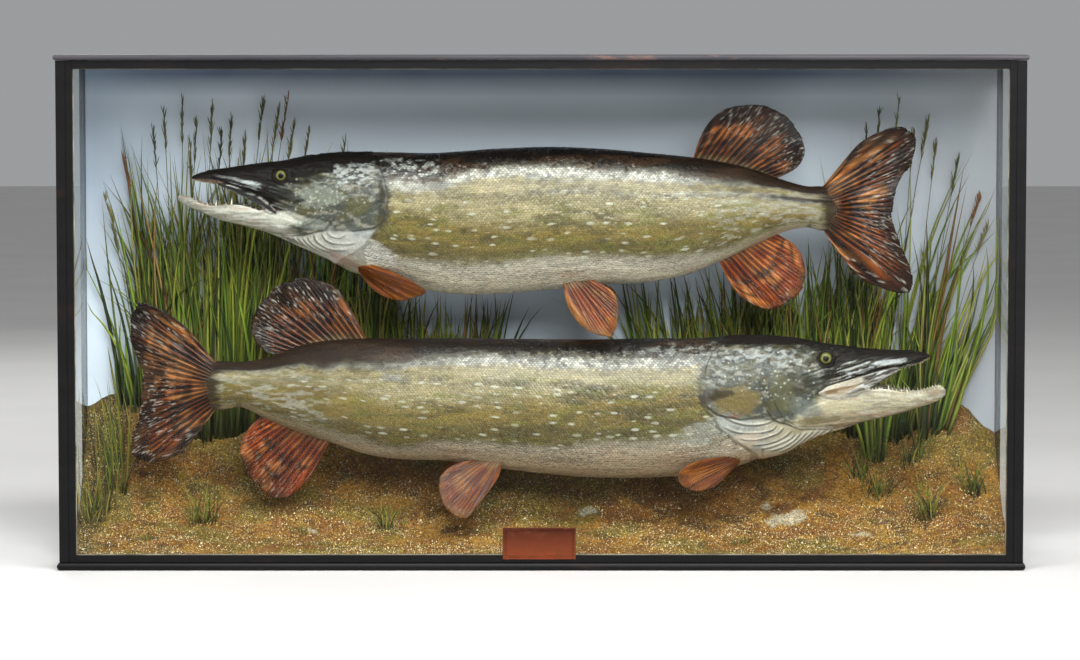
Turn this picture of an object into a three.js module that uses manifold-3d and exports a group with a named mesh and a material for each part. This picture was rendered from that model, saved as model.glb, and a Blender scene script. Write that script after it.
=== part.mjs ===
// A pair of mounted pike in a glazed display case: an ebonised wooden frame with glass at the
// front and sides, a painted backdrop, sanded groundwork with reeds, and a small copper plaque.
//
// Millimetres, +Z up. The origin is the middle of the underside of the case; +X is to the
// right of someone looking into it, and the front glass faces -Y.

import * as THREE from "three";
import { mergeVertices } from "three/addons/utils/BufferGeometryUtils.js";
import Module from "manifold-3d";

const wasm = await Module();
wasm.setup();

// ---------------------------------------------------------------- driving dimensions

const GAP = 0.3; // clearance kept between neighbouring pieces

const CASE = {
  width: 1240, // over the corner posts
  depth: 280,
  height: 662.5,
  overhang: 3, // of the base and top boards, past the posts
  base: 10.5, // thickness of the base board
  top: 7, // thickness of the top board
  railBottom: 8.5, // height of the lower rails
  railTop: 10.5, // height of the upper rails
};

const POST = {
  face: 21, // width seen from the front
  proud: 12, // outer strip, which stands in front of the inner one
  step: 2, // how far it stands in front
  flange: 6, // thickness of the inner strip
  bead: 3.7, // thickness of the strip outside the side glass
  leg: 21, // width seen from the side
};

const PANE = 3; // thickness of the glass
const BACKDROP = 3; // thickness of the painted panel

const INNER_FRONT = -CASE.depth / 2 + POST.step + POST.flange; // back of the front rails
const INNER_SIDE = CASE.width / 2 - POST.bead; // inside of the side beads
const ROOM = {
  side: INNER_SIDE - GAP - PANE, // half the free width between the side panes
  front: INNER_FRONT + GAP + PANE, // inside of the front pane
  back: CASE.depth / 2 - 15.5, // face of the backdrop
  floor: CASE.base,
  ceiling: CASE.height - CASE.top,
};

// ---------------------------------------------------------------- materials

const finish = (color, roughness, metalness = 0, extra = {}) =>
  new THREE.MeshStandardMaterial({ color, roughness, metalness, ...extra });

const EBONISED = finish(0x1f1f22, 0.4);
const BACK_WOOD = finish(0x4a3626, 0.8);
const BACKDROP_PAINT = finish(0x9aa9bc, 0.85);
const GLASS = finish(0xe6eef0, 0.05, 0, { transparent: true, opacity: 0.15 });
const COPPER = finish(0x9a4c30, 0.35, 0.9);
const SAND = finish(0x9a7d45, 0.95);
const REED = finish(0x5c7626, 0.7);
const SKIN = finish(0x7c7a4a, 0.3);
const FIN = finish(0x7a4326, 0.4);
const EYE = finish(0xb9a542, 0.1);
const STEEL = finish(0x8c8c8c, 0.4, 0.9);

// ---------------------------------------------------------------- solids

/** A closed mesh as a manifold solid. */
function solid(geometry) {
  geometry.deleteAttribute("normal");
  geometry.deleteAttribute("uv");
  const merged = mergeVertices(geometry, 1e-3);
  const mesh = new wasm.Mesh({
    numProp: 3,
    vertProperties: merged.attributes.position.array,
    triVerts: new Uint32Array(merged.index.array),
  });
  return new wasm.Manifold(mesh);
}

/** A manifold solid as a geometry. */
function geometryOf(made) {
  const { vertProperties, triVerts } = made.getMesh();
  const geometry = new THREE.BufferGeometry();
  geometry.setAttribute("position", new THREE.BufferAttribute(new Float32Array(vertProperties), 3));
  geometry.setIndex(new THREE.BufferAttribute(new Uint32Array(triVerts), 1));
  geometry.computeVertexNormals();
  return geometry;
}

/** Adds a named piece, from a geometry or a manifold solid, to a group. */
function piece(group, name, shape, material) {
  const geometry = shape.isBufferGeometry ? shape : geometryOf(shape);
  const mesh = new THREE.Mesh(geometry, material);
  mesh.name = name;
  group.add(mesh);
  return mesh;
}

/** A box between two corners. */
function box([x0, y0, z0], [x1, y1, z1]) {
  const made = new THREE.BoxGeometry(x1 - x0, y1 - y0, z1 - z0);
  return made.translate((x0 + x1) / 2, (y0 + y1) / 2, (z0 + z1) / 2);
}

/** Joins rings of points, each with the same number, into one closed skin with pointed ends. */
function skin(rings) {
  const sides = rings[0].length;
  const points = rings.flat();
  const faces = [];
  for (let r = 0; r + 1 < rings.length; r++)
    for (let i = 0; i < sides; i++) {
      const j = (i + 1) % sides;
      const [a, b, c, d] = [r * sides + i, r * sides + j, (r + 1) * sides + j, (r + 1) * sides + i];
      faces.push(a, c, b, a, d, c);
    }
  for (const [ring, first, turned] of [
    [rings[0], 0, false],
    [rings.at(-1), (rings.length - 1) * sides, true],
  ]) {
    const middle = points.length;
    const mean = (k) => ring.reduce((sum, p) => sum + p[k], 0) / sides;
    points.push([mean(0), mean(1), mean(2)]);
    for (let i = 0; i < sides; i++) {
      const [a, b] = [first + i, first + ((i + 1) % sides)];
      faces.push(middle, ...(turned ? [b, a] : [a, b]));
    }
  }
  return closed(points, faces);
}

/** A geometry from points and faces, turned so that its faces point out. */
function closed(points, faces) {
  let volume = 0;
  const at = points.map((p) => new THREE.Vector3(...p));
  for (let i = 0; i < faces.length; i += 3)
    volume += at[faces[i]].dot(at[faces[i + 1]].clone().cross(at[faces[i + 2]]));
  if (volume < 0) faces.reverse();
  const geometry = new THREE.BufferGeometry();
  geometry.setAttribute("position", new THREE.Float32BufferAttribute(points.flat(), 3));
  geometry.setIndex(faces);
  return geometry;
}

/** The closed solid between two sheets, each a function of (i, j) over the same grid. */
function between(across, along, upper, lower) {
  const points = [];
  const faces = [];
  const at = (side, i, j) => (side * (along + 1) + j) * (across + 1) + i;
  for (const sheet of [upper, lower])
    for (let j = 0; j <= along; j++) for (let i = 0; i <= across; i++) points.push(sheet(i, j));
  const quad = (a, b, c, d) => faces.push(a, b, c, a, c, d);
  for (let j = 0; j < along; j++)
    for (let i = 0; i < across; i++) {
      quad(at(0, i, j), at(0, i + 1, j), at(0, i + 1, j + 1), at(0, i, j + 1));
      quad(at(1, i, j), at(1, i, j + 1), at(1, i + 1, j + 1), at(1, i + 1, j));
    }
  for (let i = 0; i < across; i++) {
    quad(at(0, i, 0), at(1, i, 0), at(1, i + 1, 0), at(0, i + 1, 0));
    quad(at(0, i + 1, along), at(1, i + 1, along), at(1, i, along), at(0, i, along));
  }
  for (let j = 0; j < along; j++) {
    quad(at(0, 0, j + 1), at(1, 0, j + 1), at(1, 0, j), at(0, 0, j));
    quad(at(0, across, j), at(1, across, j), at(1, across, j + 1), at(0, across, j + 1));
  }
  return closed(points, faces);
}

/** The row at x, on a smooth curve through rows whose first value is x. */
function rowAt(rows, x) {
  let i = 0;
  while (i < rows.length - 2 && x > rows[i + 1][0]) i++;
  const [a, b] = [rows[i], rows[i + 1]];
  const [before, after] = [rows[i - 1] ?? a, rows[i + 2] ?? b];
  const span = b[0] - a[0];
  const t = Math.min(1, Math.max(0, (x - a[0]) / span));
  return a.map((_, k) => {
    const slopeA = ((b[k] - before[k]) / (b[0] - before[0])) * span;
    const slopeB = ((after[k] - a[k]) / (after[0] - a[0])) * span;
    const [t2, t3] = [t * t, t * t * t];
    return (
      (2 * t3 - 3 * t2 + 1) * a[k] +
      (t3 - 2 * t2 + t) * slopeA +
      (3 * t2 - 2 * t3) * b[k] +
      (t3 - t2) * slopeB
    );
  });
}

/** Where the rings of a loft lie: at each row, and at so many places between two rows. */
function ringPlaces(rows, between = 0) {
  return rows.flatMap(([x], i) => {
    if (i === rows.length - 1) return [x];
    const span = (rows[i + 1][0] - x) / (between + 1);
    return Array.from({ length: between + 1 }, (_, k) => x + k * span);
  });
}

const signedPower = (value, power) => Math.sign(value) * Math.abs(value) ** power;

// ---------------------------------------------------------------- the pikes

// Each pike has its own frame: x runs back from the tip of its snout, z is up, and y is to its
// side. A body row is [x, back, underside, half width, share of the height where it is widest].
// A jaw row is [x, lip, keel, half width], and a throat row [x, top, underside, half width].
// A fin has a root and an edge, each a line of [x, z] points as seen from the side; the edge
// runs from the front of the root, round the tips of the rays, to the back of the root.

const BIG_PIKE = {
  body: [
    [0, -1, -5, 9, 0.5],
    [12, 3, -11, 18, 0.5], // snout
    [45, 4, -21, 25, 0.45], // nostrils
    [80, 6.5, -33, 30, 0.42],
    [115, 11.5, -48, 35, 0.42],
    [140, 15.5, -75, 41, 0.45], // eyes
    [165, 20, -106, 47, 0.48],
    [200, 23.7, -128, 53, 0.5], // cheeks
    [250, 25, -147, 59, 0.5],
    [304, 21, -158, 61, 0.5], // edge of the gill cover
    [370, 21, -163, 63, 0.52],
    [435, 19.5, -163, 64, 0.53], // breast
    [500, 19.8, -158.5, 63, 0.53],
    [565, 20.4, -151, 60, 0.53], // pelvic fins
    [635, 21, -141, 55, 0.53],
    [700, 20.5, -138.5, 51, 0.53],
    [742, 21, -132, 46, 0.53], // front of the dorsal fin
    [790, 18.5, -116, 38, 0.53],
    [830, 11, -103, 30, 0.53],
    [870, -4, -87, 23, 0.52], // back of the dorsal fin
    [905, -9.7, -71, 18, 0.5], // tail stem
    [935, -9, -74, 13, 0.5],
    [957, -14, -70, 6, 0.5],
  ],
  jaw: [
    [-21, -46, -54, 9],
    [-14, -41.5, -60, 16],
    [1, -46, -66, 22],
    [20, -49.5, -72, 27],
    [41, -46, -78.5, 31],
    [67, -42, -84.5, 34],
    [96, -46, -91, 37.5],
    [125, -55, -95, 41],
    [155, -65, -96, 45],
    [180, -75, -91, 46],
  ],
  throat: [
    [85, -80, -88.5, 5],
    [107, -80, -96.5, 13],
    [133, -80, -104.5, 21],
    [160, -80, -114.5, 29],
    [190, -80, -131, 37],
    [220, -80, -139, 42],
  ],
  eye: { x: 139, z: -3.3, radius: 9.5, out: 27.5 },
  teeth: { from: -8, to: 78, count: 7, height: 6 },
  gillEdge: { x: 155, z: -62, radius: 150 },
  cuts: [430, 600, 780],
  dorsal: {
    root: [[738.7, 16], [790, 12], [843.6, -3]],
    edge: [
      [738.7, 16], [762.3, 62], [785.9, 92], [828, 101.5], [867, 84.5],
      [890.8, 51.5], [892.2, 29], [877.7, 6.6], [850, -4],
    ],
  },
  anal: {
    root: [[785.9, -111], [830, -97], [873.8, -78]],
    edge: [
      [785.9, -111], [799, -133], [821.3, -168.7], [847.6, -191], [869.9, -190],
      [893.5, -167.4], [906.6, -139.7], [906.6, -113.3], [893.5, -95], [876, -80],
    ],
  },
  caudal: {
    root: [[935, -15], [951, -37], [935, -68]],
    edge: [
      [935, -15], [955, 5.3], [978.8, 37], [1011.6, 59.3], [1037.8, 68.5], [1049.6, 58],
      [1053.5, 31.6], [1045.7, 0], [1037.8, -27.7], [1040.4, -60.6], [1044, -90], [1052.2, -116],
      [1049.6, -134.4], [1027.3, -144.3], [995.8, -137], [969.6, -113.3], [951, -88.3], [935, -68],
    ],
  },
  pelvic: {
    root: [[561.5, -138], [578, -137], [594.3, -136]],
    edge: [
      [561.5, -138], [566.8, -158.2], [585.2, -184.5], [611.4, -213], [631, -205],
      [645.5, -182], [645.5, -161], [628.4, -144], [594.3, -136],
    ],
    spread: 0.3, // outwards for each millimetre along a ray
  },
  pectoral: {
    root: [[244, -130], [245, -134], [248, -140]],
    edge: [
      [244, -130], [283.4, -132.5], [316.2, -138.4], [333.2, -151.6], [329.3, -167.4],
      [307, -176], [284.7, -171.3], [267.6, -156.8], [248, -140],
    ],
    spread: 0.34,
  },
};

const SMALL_PIKE = {
  body: [
    [0, 0, -4, 8, 0.5],
    [12, 5.5, -7, 16, 0.5],
    [45, 10.5, -13, 22.5, 0.45],
    [75, 15.5, -22, 26.5, 0.42],
    [105, 19.8, -40, 31, 0.42],
    [120, 22, -60, 35, 0.45],
    [145, 26.8, -88, 41, 0.48],
    [170, 29.8, -103, 46, 0.5],
    [205, 32.5, -124, 51, 0.5],
    [262, 32, -141, 56, 0.5],
    [313, 31, -150.4, 59, 0.52],
    [353, 33.3, -154.3, 61, 0.53],
    [405, 37, -153.7, 62, 0.53],
    [471, 39, -148.5, 62, 0.53],
    [537, 36.5, -142, 59, 0.53],
    [590, 32, -139.5, 54, 0.53],
    [642, 27, -130.6, 48, 0.53],
    [690, 20.5, -113, 40, 0.53],
    [734, 10.6, -92.3, 31, 0.53],
    [774, -3.5, -74, 22, 0.52],
    [805, -12, -67.5, 16.5, 0.5],
    [826, -12.5, -71, 12, 0.5],
    [850, -17, -66, 5.5, 0.5],
  ],
  jaw: [
    [-19, -25.5, -30.5, 7],
    [-12, -24.5, -36, 14],
    [4, -30, -43.5, 20],
    [17, -35, -48.5, 23.5],
    [37, -36, -56.7, 27],
    [63, -35, -63.3, 30],
    [89, -42, -70, 34],
    [120, -52, -76, 38],
    [145, -60, -75, 41],
  ],
  throat: [
    [80, -62, -67.5, 5],
    [100, -62, -74, 12],
    [116, -62, -80.5, 18],
    [142, -62, -92.3, 26],
    [168, -62, -104, 34],
    [194, -62, -114.7, 40],
  ],
  eye: { x: 118.7, z: 2, radius: 8.8, out: 23 },
  teeth: { from: -6, to: 60, count: 6, height: 6 },
  dorsal: {
    root: [[656, 19], [710, 10], [758.3, -3]],
    edge: [
      [656, 19], [662.6, 42.2], [675.7, 68.5], [698, 89], [729.5, 95], [764.9, 89],
      [793.8, 64.6], [805.6, 35.6], [795, 13.2], [765, -4],
    ],
  },
  anal: {
    root: [[690, -107], [727, -89], [763.6, -73]],
    edge: [
      [690, -107], [703.2, -135.8], [721.6, -159.5], [758.3, -176], [791, -160.8],
      [805.6, -139.7], [805.6, -116], [792.4, -91], [768, -75],
    ],
  },
  caudal: {
    root: [[822, -18], [846, -43.5], [824, -64]],
    edge: [
      [822, -18], [850, 9.2], [869.9, 39.5], [900, 59.3], [932.8, 67.2], [951.2, 51.4],
      [947.3, 22.4], [930.2, -6.6], [919.7, -46], [928.9, -83], [946, -122.6], [943.3, -153],
      [909.2, -149], [876.4, -134.4], [851.5, -104], [824, -64],
    ],
  },
  pelvic: {
    root: [[486.8, -136], [505, -134], [522.2, -132]],
    edge: [
      [486.8, -136], [490.7, -162], [502.5, -185.8], [524.8, -203.6], [549.7, -207],
      [560.2, -182], [553.7, -151.6], [522.2, -132],
    ],
    spread: 0.3,
  },
  pectoral: {
    root: [[210, -112], [214, -119], [220.4, -126.5]],
    edge: [
      [210, -112], [236.2, -113.3], [272.9, -126], [309.6, -147.6], [290, -157.5],
      [269, -160.8], [240, -149], [220.4, -126.5],
    ],
    spread: 0.34,
  },
};

// Snouts are squarer in section than trunks.
const SQUARE = { snout: 3, trunk: 2.15, until: 260 };

/** How square a section is at x: 2 is an ellipse. */
function squareness(x) {
  const t = Math.min(1, Math.max(0, x / SQUARE.until));
  return SQUARE.snout + (SQUARE.trunk - SQUARE.snout) * t;
}

/** The head and trunk, with the underside of the snout as the roof of the mouth. */
function bodyShape(pike, { sides, between, more = 0 }) {
  const rings = ringPlaces(pike.body, between).map((x) => {
    const [, back, under, half, wide] = rowAt(pike.body, x);
    const power = 2 / squareness(x);
    const middle = under + (back - under) * wide;
    return Array.from({ length: sides }, (_, i) => {
      const angle = (i / sides) * 2 * Math.PI;
      const rise = Math.sin(angle) > 0 ? back - middle + more : middle - under + more;
      return [
        x,
        (half + more) * signedPower(Math.cos(angle), power),
        middle + rise * signedPower(Math.sin(angle), power),
      ];
    });
  });
  return solid(skin(rings));
}

/** How far out from the middle plane the flank of a pike is, at x and z. */
function flankAt(pike, x, z) {
  const [, back, under, half, wide] = rowAt(pike.body, x);
  const power = squareness(x);
  const middle = under + (back - under) * wide;
  const share = Math.abs(z - middle) / (z > middle ? back - middle : middle - under);
  return half * Math.max(0, 1 - share ** power) ** (1 / power);
}

/** The folded skin between the jaw and the breast. */
function throatShape(pike, { sides, more = 0 }) {
  const rings = ringPlaces(pike.throat, 1).map((x) => {
    const [, top, under, half] = rowAt(pike.throat, x);
    return Array.from({ length: sides }, (_, i) => {
      const angle = (i / sides) * 2 * Math.PI;
      const [middle, rise] = [(top + under) / 2, (top - under) / 2 + more];
      return [x, (half + more) * Math.cos(angle), middle + rise * Math.sin(angle)];
    });
  });
  return solid(skin(rings));
}

const JAW = { lip: 0.16, hollow: 0.6, square: 2.6, closes: 8 };

/** The lower jaw: a trough whose floor lies between its two lips, and rises at both ends. */
function jawShape(pike, { sides, more = 0 }) {
  const places = ringPlaces(pike.jaw, 1);
  const rings = places.map((x, place) => {
    const toEnd = Math.min(place, places.length - 1 - place) / (places.length - 1);
    const hollow = more ? 0 : JAW.hollow * Math.min(1, toEnd * JAW.closes);
    const [, lip, keel, half] = rowAt(pike.jaw, x);
    const depth = lip - keel;
    const outer = Array.from({ length: sides }, (_, i) => {
      const angle = Math.PI + (i / (sides - 1)) * Math.PI;
      return [
        x,
        (half + more) * signedPower(Math.cos(angle), 2 / JAW.square),
        lip + more + (depth + 2 * more) * signedPower(Math.sin(angle), 2 / JAW.square),
      ];
    });
    const inside = sides - 4;
    const inner = Array.from({ length: inside }, (_, i) => {
      const angle = ((i + 0.5) / inside) * Math.PI;
      const floor = hollow * depth * Math.sin(angle);
      return [x, half * (1 - JAW.lip) * Math.cos(angle), lip + more - floor];
    });
    return [...outer, ...inner];
  });
  return solid(skin(rings));
}

/** The teeth along both lips of the lower jaw, which stand in it. */
function teethShapes(pike) {
  const { from, to, count, height } = pike.teeth;
  const made = [];
  for (let i = 0; i < count; i++) {
    const x = from + ((to - from) * i) / (count - 1);
    const [, lip, , half] = rowAt(pike.jaw, x);
    const tall = height * (1 + 0.35 * Math.cos(i * 2.4)) + 3;
    for (const side of [-1, 1]) {
      const tooth = new THREE.ConeGeometry(1.5, tall, 4).rotateX(Math.PI / 2);
      made.push(solid(tooth.translate(x, side * (half * 0.93 - 1.2), lip - 2.5 + tall / 2)));
    }
  }
  return made;
}

/** A point at a share of the length of a smooth line through [x, z] points. */
function lineThrough(points) {
  const curve = new THREE.CatmullRomCurve3(
    points.map(([x, z]) => new THREE.Vector3(x, 0, z)),
    false,
    "centripetal",
  );
  return (share) => curve.getPointAt(Math.min(1, Math.max(0, share)));
}

const FIN_SHEET = { root: 2.4, edge: 1, rays: 12, along: 2, sunk: 5, apart: 9 };

/** A fin: a thin sheet of rays from its root to its edge. side is 0 for one in the middle. */
function finShape(pike, name, { side = 0, rays = FIN_SHEET.rays, lift = 0 } = {}) {
  const fin = pike[name];
  const root = lineThrough(fin.root);
  const edge = lineThrough(fin.edge);
  const first = new THREE.Vector3(fin.root[0][0], 0, fin.root[0][1]);
  const sheet = (face) => (i, j) => {
    const out = j / FIN_SHEET.along;
    const from = root(i / rays);
    const point = from.clone().lerp(edge(0.015 + (0.97 * i) / rays), out);
    const away = point.distanceTo(from);
    const thick = FIN_SHEET.root + (FIN_SHEET.edge - FIN_SHEET.root) * out;
    const rootY = Math.max(FIN_SHEET.apart, flankAt(pike, from.x, from.z) - FIN_SHEET.sunk);
    const y = side * (rootY + (fin.spread ?? 0) * away) + (face * thick) / 2;
    const tilt = lift * Math.max(0, point.distanceTo(first) * out);
    return [point.x, y, point.z + tilt];
  };
  return solid(between(rays, FIN_SHEET.along, sheet(1), sheet(-1)));
}

/** An eyeball on one side of a head. */
function eyeShape({ x, z, radius, out }, side, more = 0) {
  const ball = new THREE.SphereGeometry(radius + more, 10, 6);
  return solid(ball.translate(x, side * out, z));
}

/** The big pike, part by part. */
function bigPike() {
  const group = new THREE.Group();
  const pike = BIG_PIKE;
  const cut = { sides: 16, between: 0 };
  const flesh = bodyShape(pike, cut).add(throatShape(pike, { sides: 12 }));
  const around = bodyShape(pike, { ...cut, more: GAP });
  const jaw = jawShape(pike, { sides: 9 });
  const jawRoom = jawShape(pike, { sides: 9, more: GAP });
  const gill = (radius) => {
    const disc = new THREE.CylinderGeometry(radius, radius, 400, 32);
    return solid(disc.translate(pike.gillEdge.x, 0, pike.gillEdge.z));
  };
  const slab = (from, to) => solid(box([from, -200, -300], [to, 200, 200]));

  let head = flesh.intersect(gill(pike.gillEdge.radius)).subtract(jawRoom);
  for (const [side, name] of [[1, "right"], [-1, "left"]]) {
    head = head.subtract(eyeShape(pike.eye, side, GAP));
    piece(group, `pike_eye_${name}`, eyeShape(pike.eye, side), EYE);
  }
  piece(group, "pike_head", largest(head), SKIN);

  const lowerJaw = teethShapes(pike).reduce((all, tooth) => all.add(tooth), jaw);
  piece(group, "pike_lower_jaw", largest(lowerJaw), SKIN);

  const trunk = flesh.subtract(gill(pike.gillEdge.radius + GAP));
  const names = ["pike_shoulders", "pike_belly", "pike_loin", "pike_tail_stem"];
  const bounds = [250, ...pike.cuts, 1000];
  const roots = ["dorsal", "anal", "caudal"].map((fin) => [fin, finShape(pike, fin, finRays(fin))]);
  names.forEach((name, i) => {
    const length = slab(bounds[i] - (i ? 0 : 60), bounds[i + 1] - GAP);
    piece(group, name, largest(trunk.intersect(length)), SKIN);
  });
  for (const [fin, shape] of roots)
    piece(group, `pike_${fin}_fin`, largest(shape.subtract(around)), FIN);
  for (const fin of ["pectoral", "pelvic"])
    for (const [side, name] of [[1, "right"], [-1, "left"]]) {
      const lift = fin === "pelvic" && name === "left" ? 0.3 : 0;
      const shape = finShape(pike, fin, { side, rays: 8, lift });
      piece(group, `pike_${fin}_fin_${name}`, largest(shape.subtract(around)), FIN);
    }
  return group;
}

const finRays = (fin) => ({ rays: fin === "caudal" ? 20 : FIN_SHEET.rays });

/** The largest body of a solid, without any crumbs that a cut leaves. */
function largest(shape) {
  const bodies = shape.decompose();
  return bodies.reduce((best, body) => (body.volume() > best.volume() ? body : best));
}

/** The small pike, as one plain solid. */
function smallPike() {
  const group = new THREE.Group();
  const pike = SMALL_PIKE;
  let whole = bodyShape(pike, { sides: 14, between: 0 })
    .add(throatShape(pike, { sides: 8 }))
    .add(jawShape(pike, { sides: 9 }));
  for (const fin of ["dorsal", "anal", "caudal"])
    whole = whole.add(finShape(pike, fin, { rays: fin === "caudal" ? 14 : 9 }));
  for (const side of [1, -1]) {
    whole = whole.add(eyeShape(pike.eye, side));
    for (const fin of ["pectoral", "pelvic"])
      whole = whole.add(finShape(pike, fin, { side, rays: 6 }));
  }
  piece(group, "upper_pike", largest(whole), SKIN);
  return group;
}

// Where the tips of the two snouts are. The big pike faces right, and the small one left.
const BIG_AT = { x: 511, y: -10, z: 269.5 };
const SMALL_AT = { x: -458, y: -10, z: 503 };

// ---------------------------------------------------------------- the case

/** Extrudes an outline in the XY plane between two heights. */
function upright(outline, from, to) {
  const shape = new THREE.Shape(outline.map(([x, y]) => new THREE.Vector2(x, y)));
  const made = new THREE.ExtrudeGeometry(shape, { depth: to - from, bevelEnabled: false });
  return made.translate(0, 0, from);
}

/** A board with a rounded edge on its front and sides. */
function board(from, to) {
  const half = (to - from) / 2;
  const middle = (from + to) / 2;
  const round = 4; // facets in a quarter turn
  const rings = [];
  for (let i = -round; i <= round; i++) {
    const angle = (i / round) * (Math.PI / 2);
    const inset = half * (1 - Math.cos(angle));
    const x = CASE.width / 2 + CASE.overhang - inset;
    const front = -CASE.depth / 2 - CASE.overhang + inset;
    const back = CASE.depth / 2 + CASE.overhang - inset;
    const z = middle + half * Math.sin(angle);
    rings.push([[-x, front, z], [x, front, z], [x, back, z], [-x, back, z]]);
  }
  return skin(rings);
}

function addCase(group) {
  const [side, front] = [CASE.width / 2, -CASE.depth / 2];
  const [low, high] = [CASE.base + GAP, CASE.height - CASE.top - GAP];
  piece(group, "base_board", board(0, CASE.base), EBONISED);
  piece(group, "top_board", board(CASE.height - CASE.top, CASE.height), EBONISED);

  const frontPost = [
    [-side, front],
    [-side + POST.proud, front],
    [-side + POST.proud, front + POST.step],
    [-side + POST.face, front + POST.step],
    [-side + POST.face, INNER_FRONT],
    [-side + POST.bead, INNER_FRONT],
    [-side + POST.bead, front + POST.leg],
    [-side, front + POST.leg],
  ];
  const back = -front;
  const backPost = [
    [-side, back - POST.leg],
    [-side + POST.bead, back - POST.leg],
    [-side + POST.bead, back - 12],
    [-side + POST.face, back - 12],
    [-side + POST.face, back],
    [-side, back],
  ];
  for (const [name, outline] of [["front", frontPost], ["back", backPost]]) {
    const mirrored = outline.map(([x, y]) => [-x, y]).reverse();
    piece(group, `post_${name}_left`, upright(outline, low, high), EBONISED);
    piece(group, `post_${name}_right`, upright(mirrored, low, high), EBONISED);
  }

  const clear = side - POST.face - GAP;
  const rails = { bottom: [low, low + CASE.railBottom], top: [high - CASE.railTop, high] };
  for (const [name, [from, to]] of Object.entries(rails)) {
    const face = front + POST.step;
    piece(group, `rail_front_${name}`, box([-clear, face, from], [clear, INNER_FRONT, to]), EBONISED);
    const [near, far] = [front + POST.leg + GAP, back - POST.leg - GAP];
    const inner = side - POST.bead;
    piece(group, `rail_left_${name}`, box([-side, near, from], [-inner, far, to]), EBONISED);
    piece(group, `rail_right_${name}`, box([inner, near, from], [side, far, to]), EBONISED);
  }

  const pane = INNER_SIDE - GAP;
  const edge = ROOM.side - GAP;
  const glassBack = back - 12 - GAP;
  piece(group, "glass_front", box([-edge, INNER_FRONT + GAP, low], [edge, ROOM.front, high]), GLASS);
  piece(group, "glass_left", box([-pane, INNER_FRONT + GAP, low], [-ROOM.side, glassBack, high]), GLASS);
  piece(group, "glass_right", box([ROOM.side, INNER_FRONT + GAP, low], [pane, glassBack, high]), GLASS);
  piece(group, "backdrop", box([-edge, ROOM.back, low], [edge, ROOM.back + BACKDROP, high]), BACKDROP_PAINT);
  const boardSide = side - POST.face - GAP;
  piece(group, "back_board", box([-boardSide, back - 11.5, low], [boardSide, back, high]), BACK_WOOD);
}

const PLAQUE = { width: 94, height: 41, thick: 1.2, x: -2.5, bottom: 14.5 };

function addPlaque(group) {
  const front = -CASE.depth / 2 + POST.step - GAP;
  const x0 = PLAQUE.x - PLAQUE.width / 2;
  const low = [x0, front - PLAQUE.thick, PLAQUE.bottom];
  const high = [x0 + PLAQUE.width, front, PLAQUE.bottom + PLAQUE.height];
  piece(group, "plaque", box(low, high), COPPER);
}

// ---------------------------------------------------------------- groundwork and reeds

const GROUND = { front: 19, rise: 20, sweep: 112, across: 30, along: 7 };
// Mounds of the groundwork: centre, spread along X, and height at the back.
const MOUNDS = [
  { x: -555, spread: 85, height: 62 },
  { x: -330, spread: 110, height: 18 },
  { x: 395, spread: 70, height: 24 },
  { x: 548, spread: 50, height: 43 },
];

/** Height of the groundwork at a place on the floor of the case. */
function groundAt(x, y) {
  const t = (y - ROOM.front) / (ROOM.back - ROOM.front);
  let z = GROUND.front + GROUND.rise * t + GROUND.sweep * t ** 3;
  for (const mound of MOUNDS)
    z += mound.height * t * t * Math.exp(-(((x - mound.x) / mound.spread) ** 2));
  return z + 5 * t * Math.sin(x / 47 + 3 * t) + 3.5 * t * Math.sin(x / 21 - 5 * t);
}

// Reed beds: middle and half length along X, distance in front of the backdrop, number of
// blades, the height that the tallest reach above the floor of the case, and their lean.
const REED_BEDS = [
  { name: "reeds_far_left", x: -525, half: 32, back: 34, blades: 7, top: 430, lean: 0.02 },
  { name: "reeds_left", x: -385, half: 75, back: 40, blades: 10, top: 590, lean: -0.04 },
  { name: "reeds_middle_left", x: -225, half: 50, back: 34, blades: 7, top: 350, lean: -0.05 },
  { name: "reeds_middle_right", x: 245, half: 60, back: 36, blades: 8, top: 400, lean: -0.06 },
  { name: "reeds_right", x: 405, half: 60, back: 34, blades: 10, top: 540, lean: 0.02 },
  { name: "reeds_far_right", x: 540, half: 24, back: 56, blades: 6, top: 470, lean: -0.02 },
];
const CLOD = { deep: 10, margin: 8, below: 9, above: 7, across: 4 };
const BLADE = { width: 3.4, thick: 1.6, steps: 3, root: 4 };

/** One blade: a tapering three-sided stalk that leans and bends over. */
function bladeShape(root, height, lean, bend) {
  const rings = [];
  for (let j = 0; j <= BLADE.steps; j++) {
    const t = j / BLADE.steps;
    const taper = 1 - 0.8 * t;
    const x = root[0] + height * (lean * t + bend * t * t);
    const z = root[2] + height * t;
    const [w, d] = [(BLADE.width / 2) * taper, (BLADE.thick / 2) * taper];
    rings.push([[x - w, root[1] - d, z], [x + w, root[1] - d, z], [x, root[1] + d, z]]);
  }
  return solid(skin(rings));
}

/** The clod that a bed of reeds grows from: a strip of turf that follows the ground. */
function clodShape(bed, more = 0) {
  const y = ROOM.back - bed.back;
  const long = bed.half + CLOD.margin + more;
  const sheet = (deep, rise) => (i, j) => {
    const place = [bed.x + long * ((2 * i) / CLOD.across - 1), y + deep * (2 * j - 1)];
    return [...place, groundAt(...place) + rise];
  };
  const deep = CLOD.deep + more;
  const [above, below] = [CLOD.above + more, CLOD.below + more];
  return solid(between(CLOD.across, 1, sheet(deep, above), sheet(deep, -below)));
}

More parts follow.
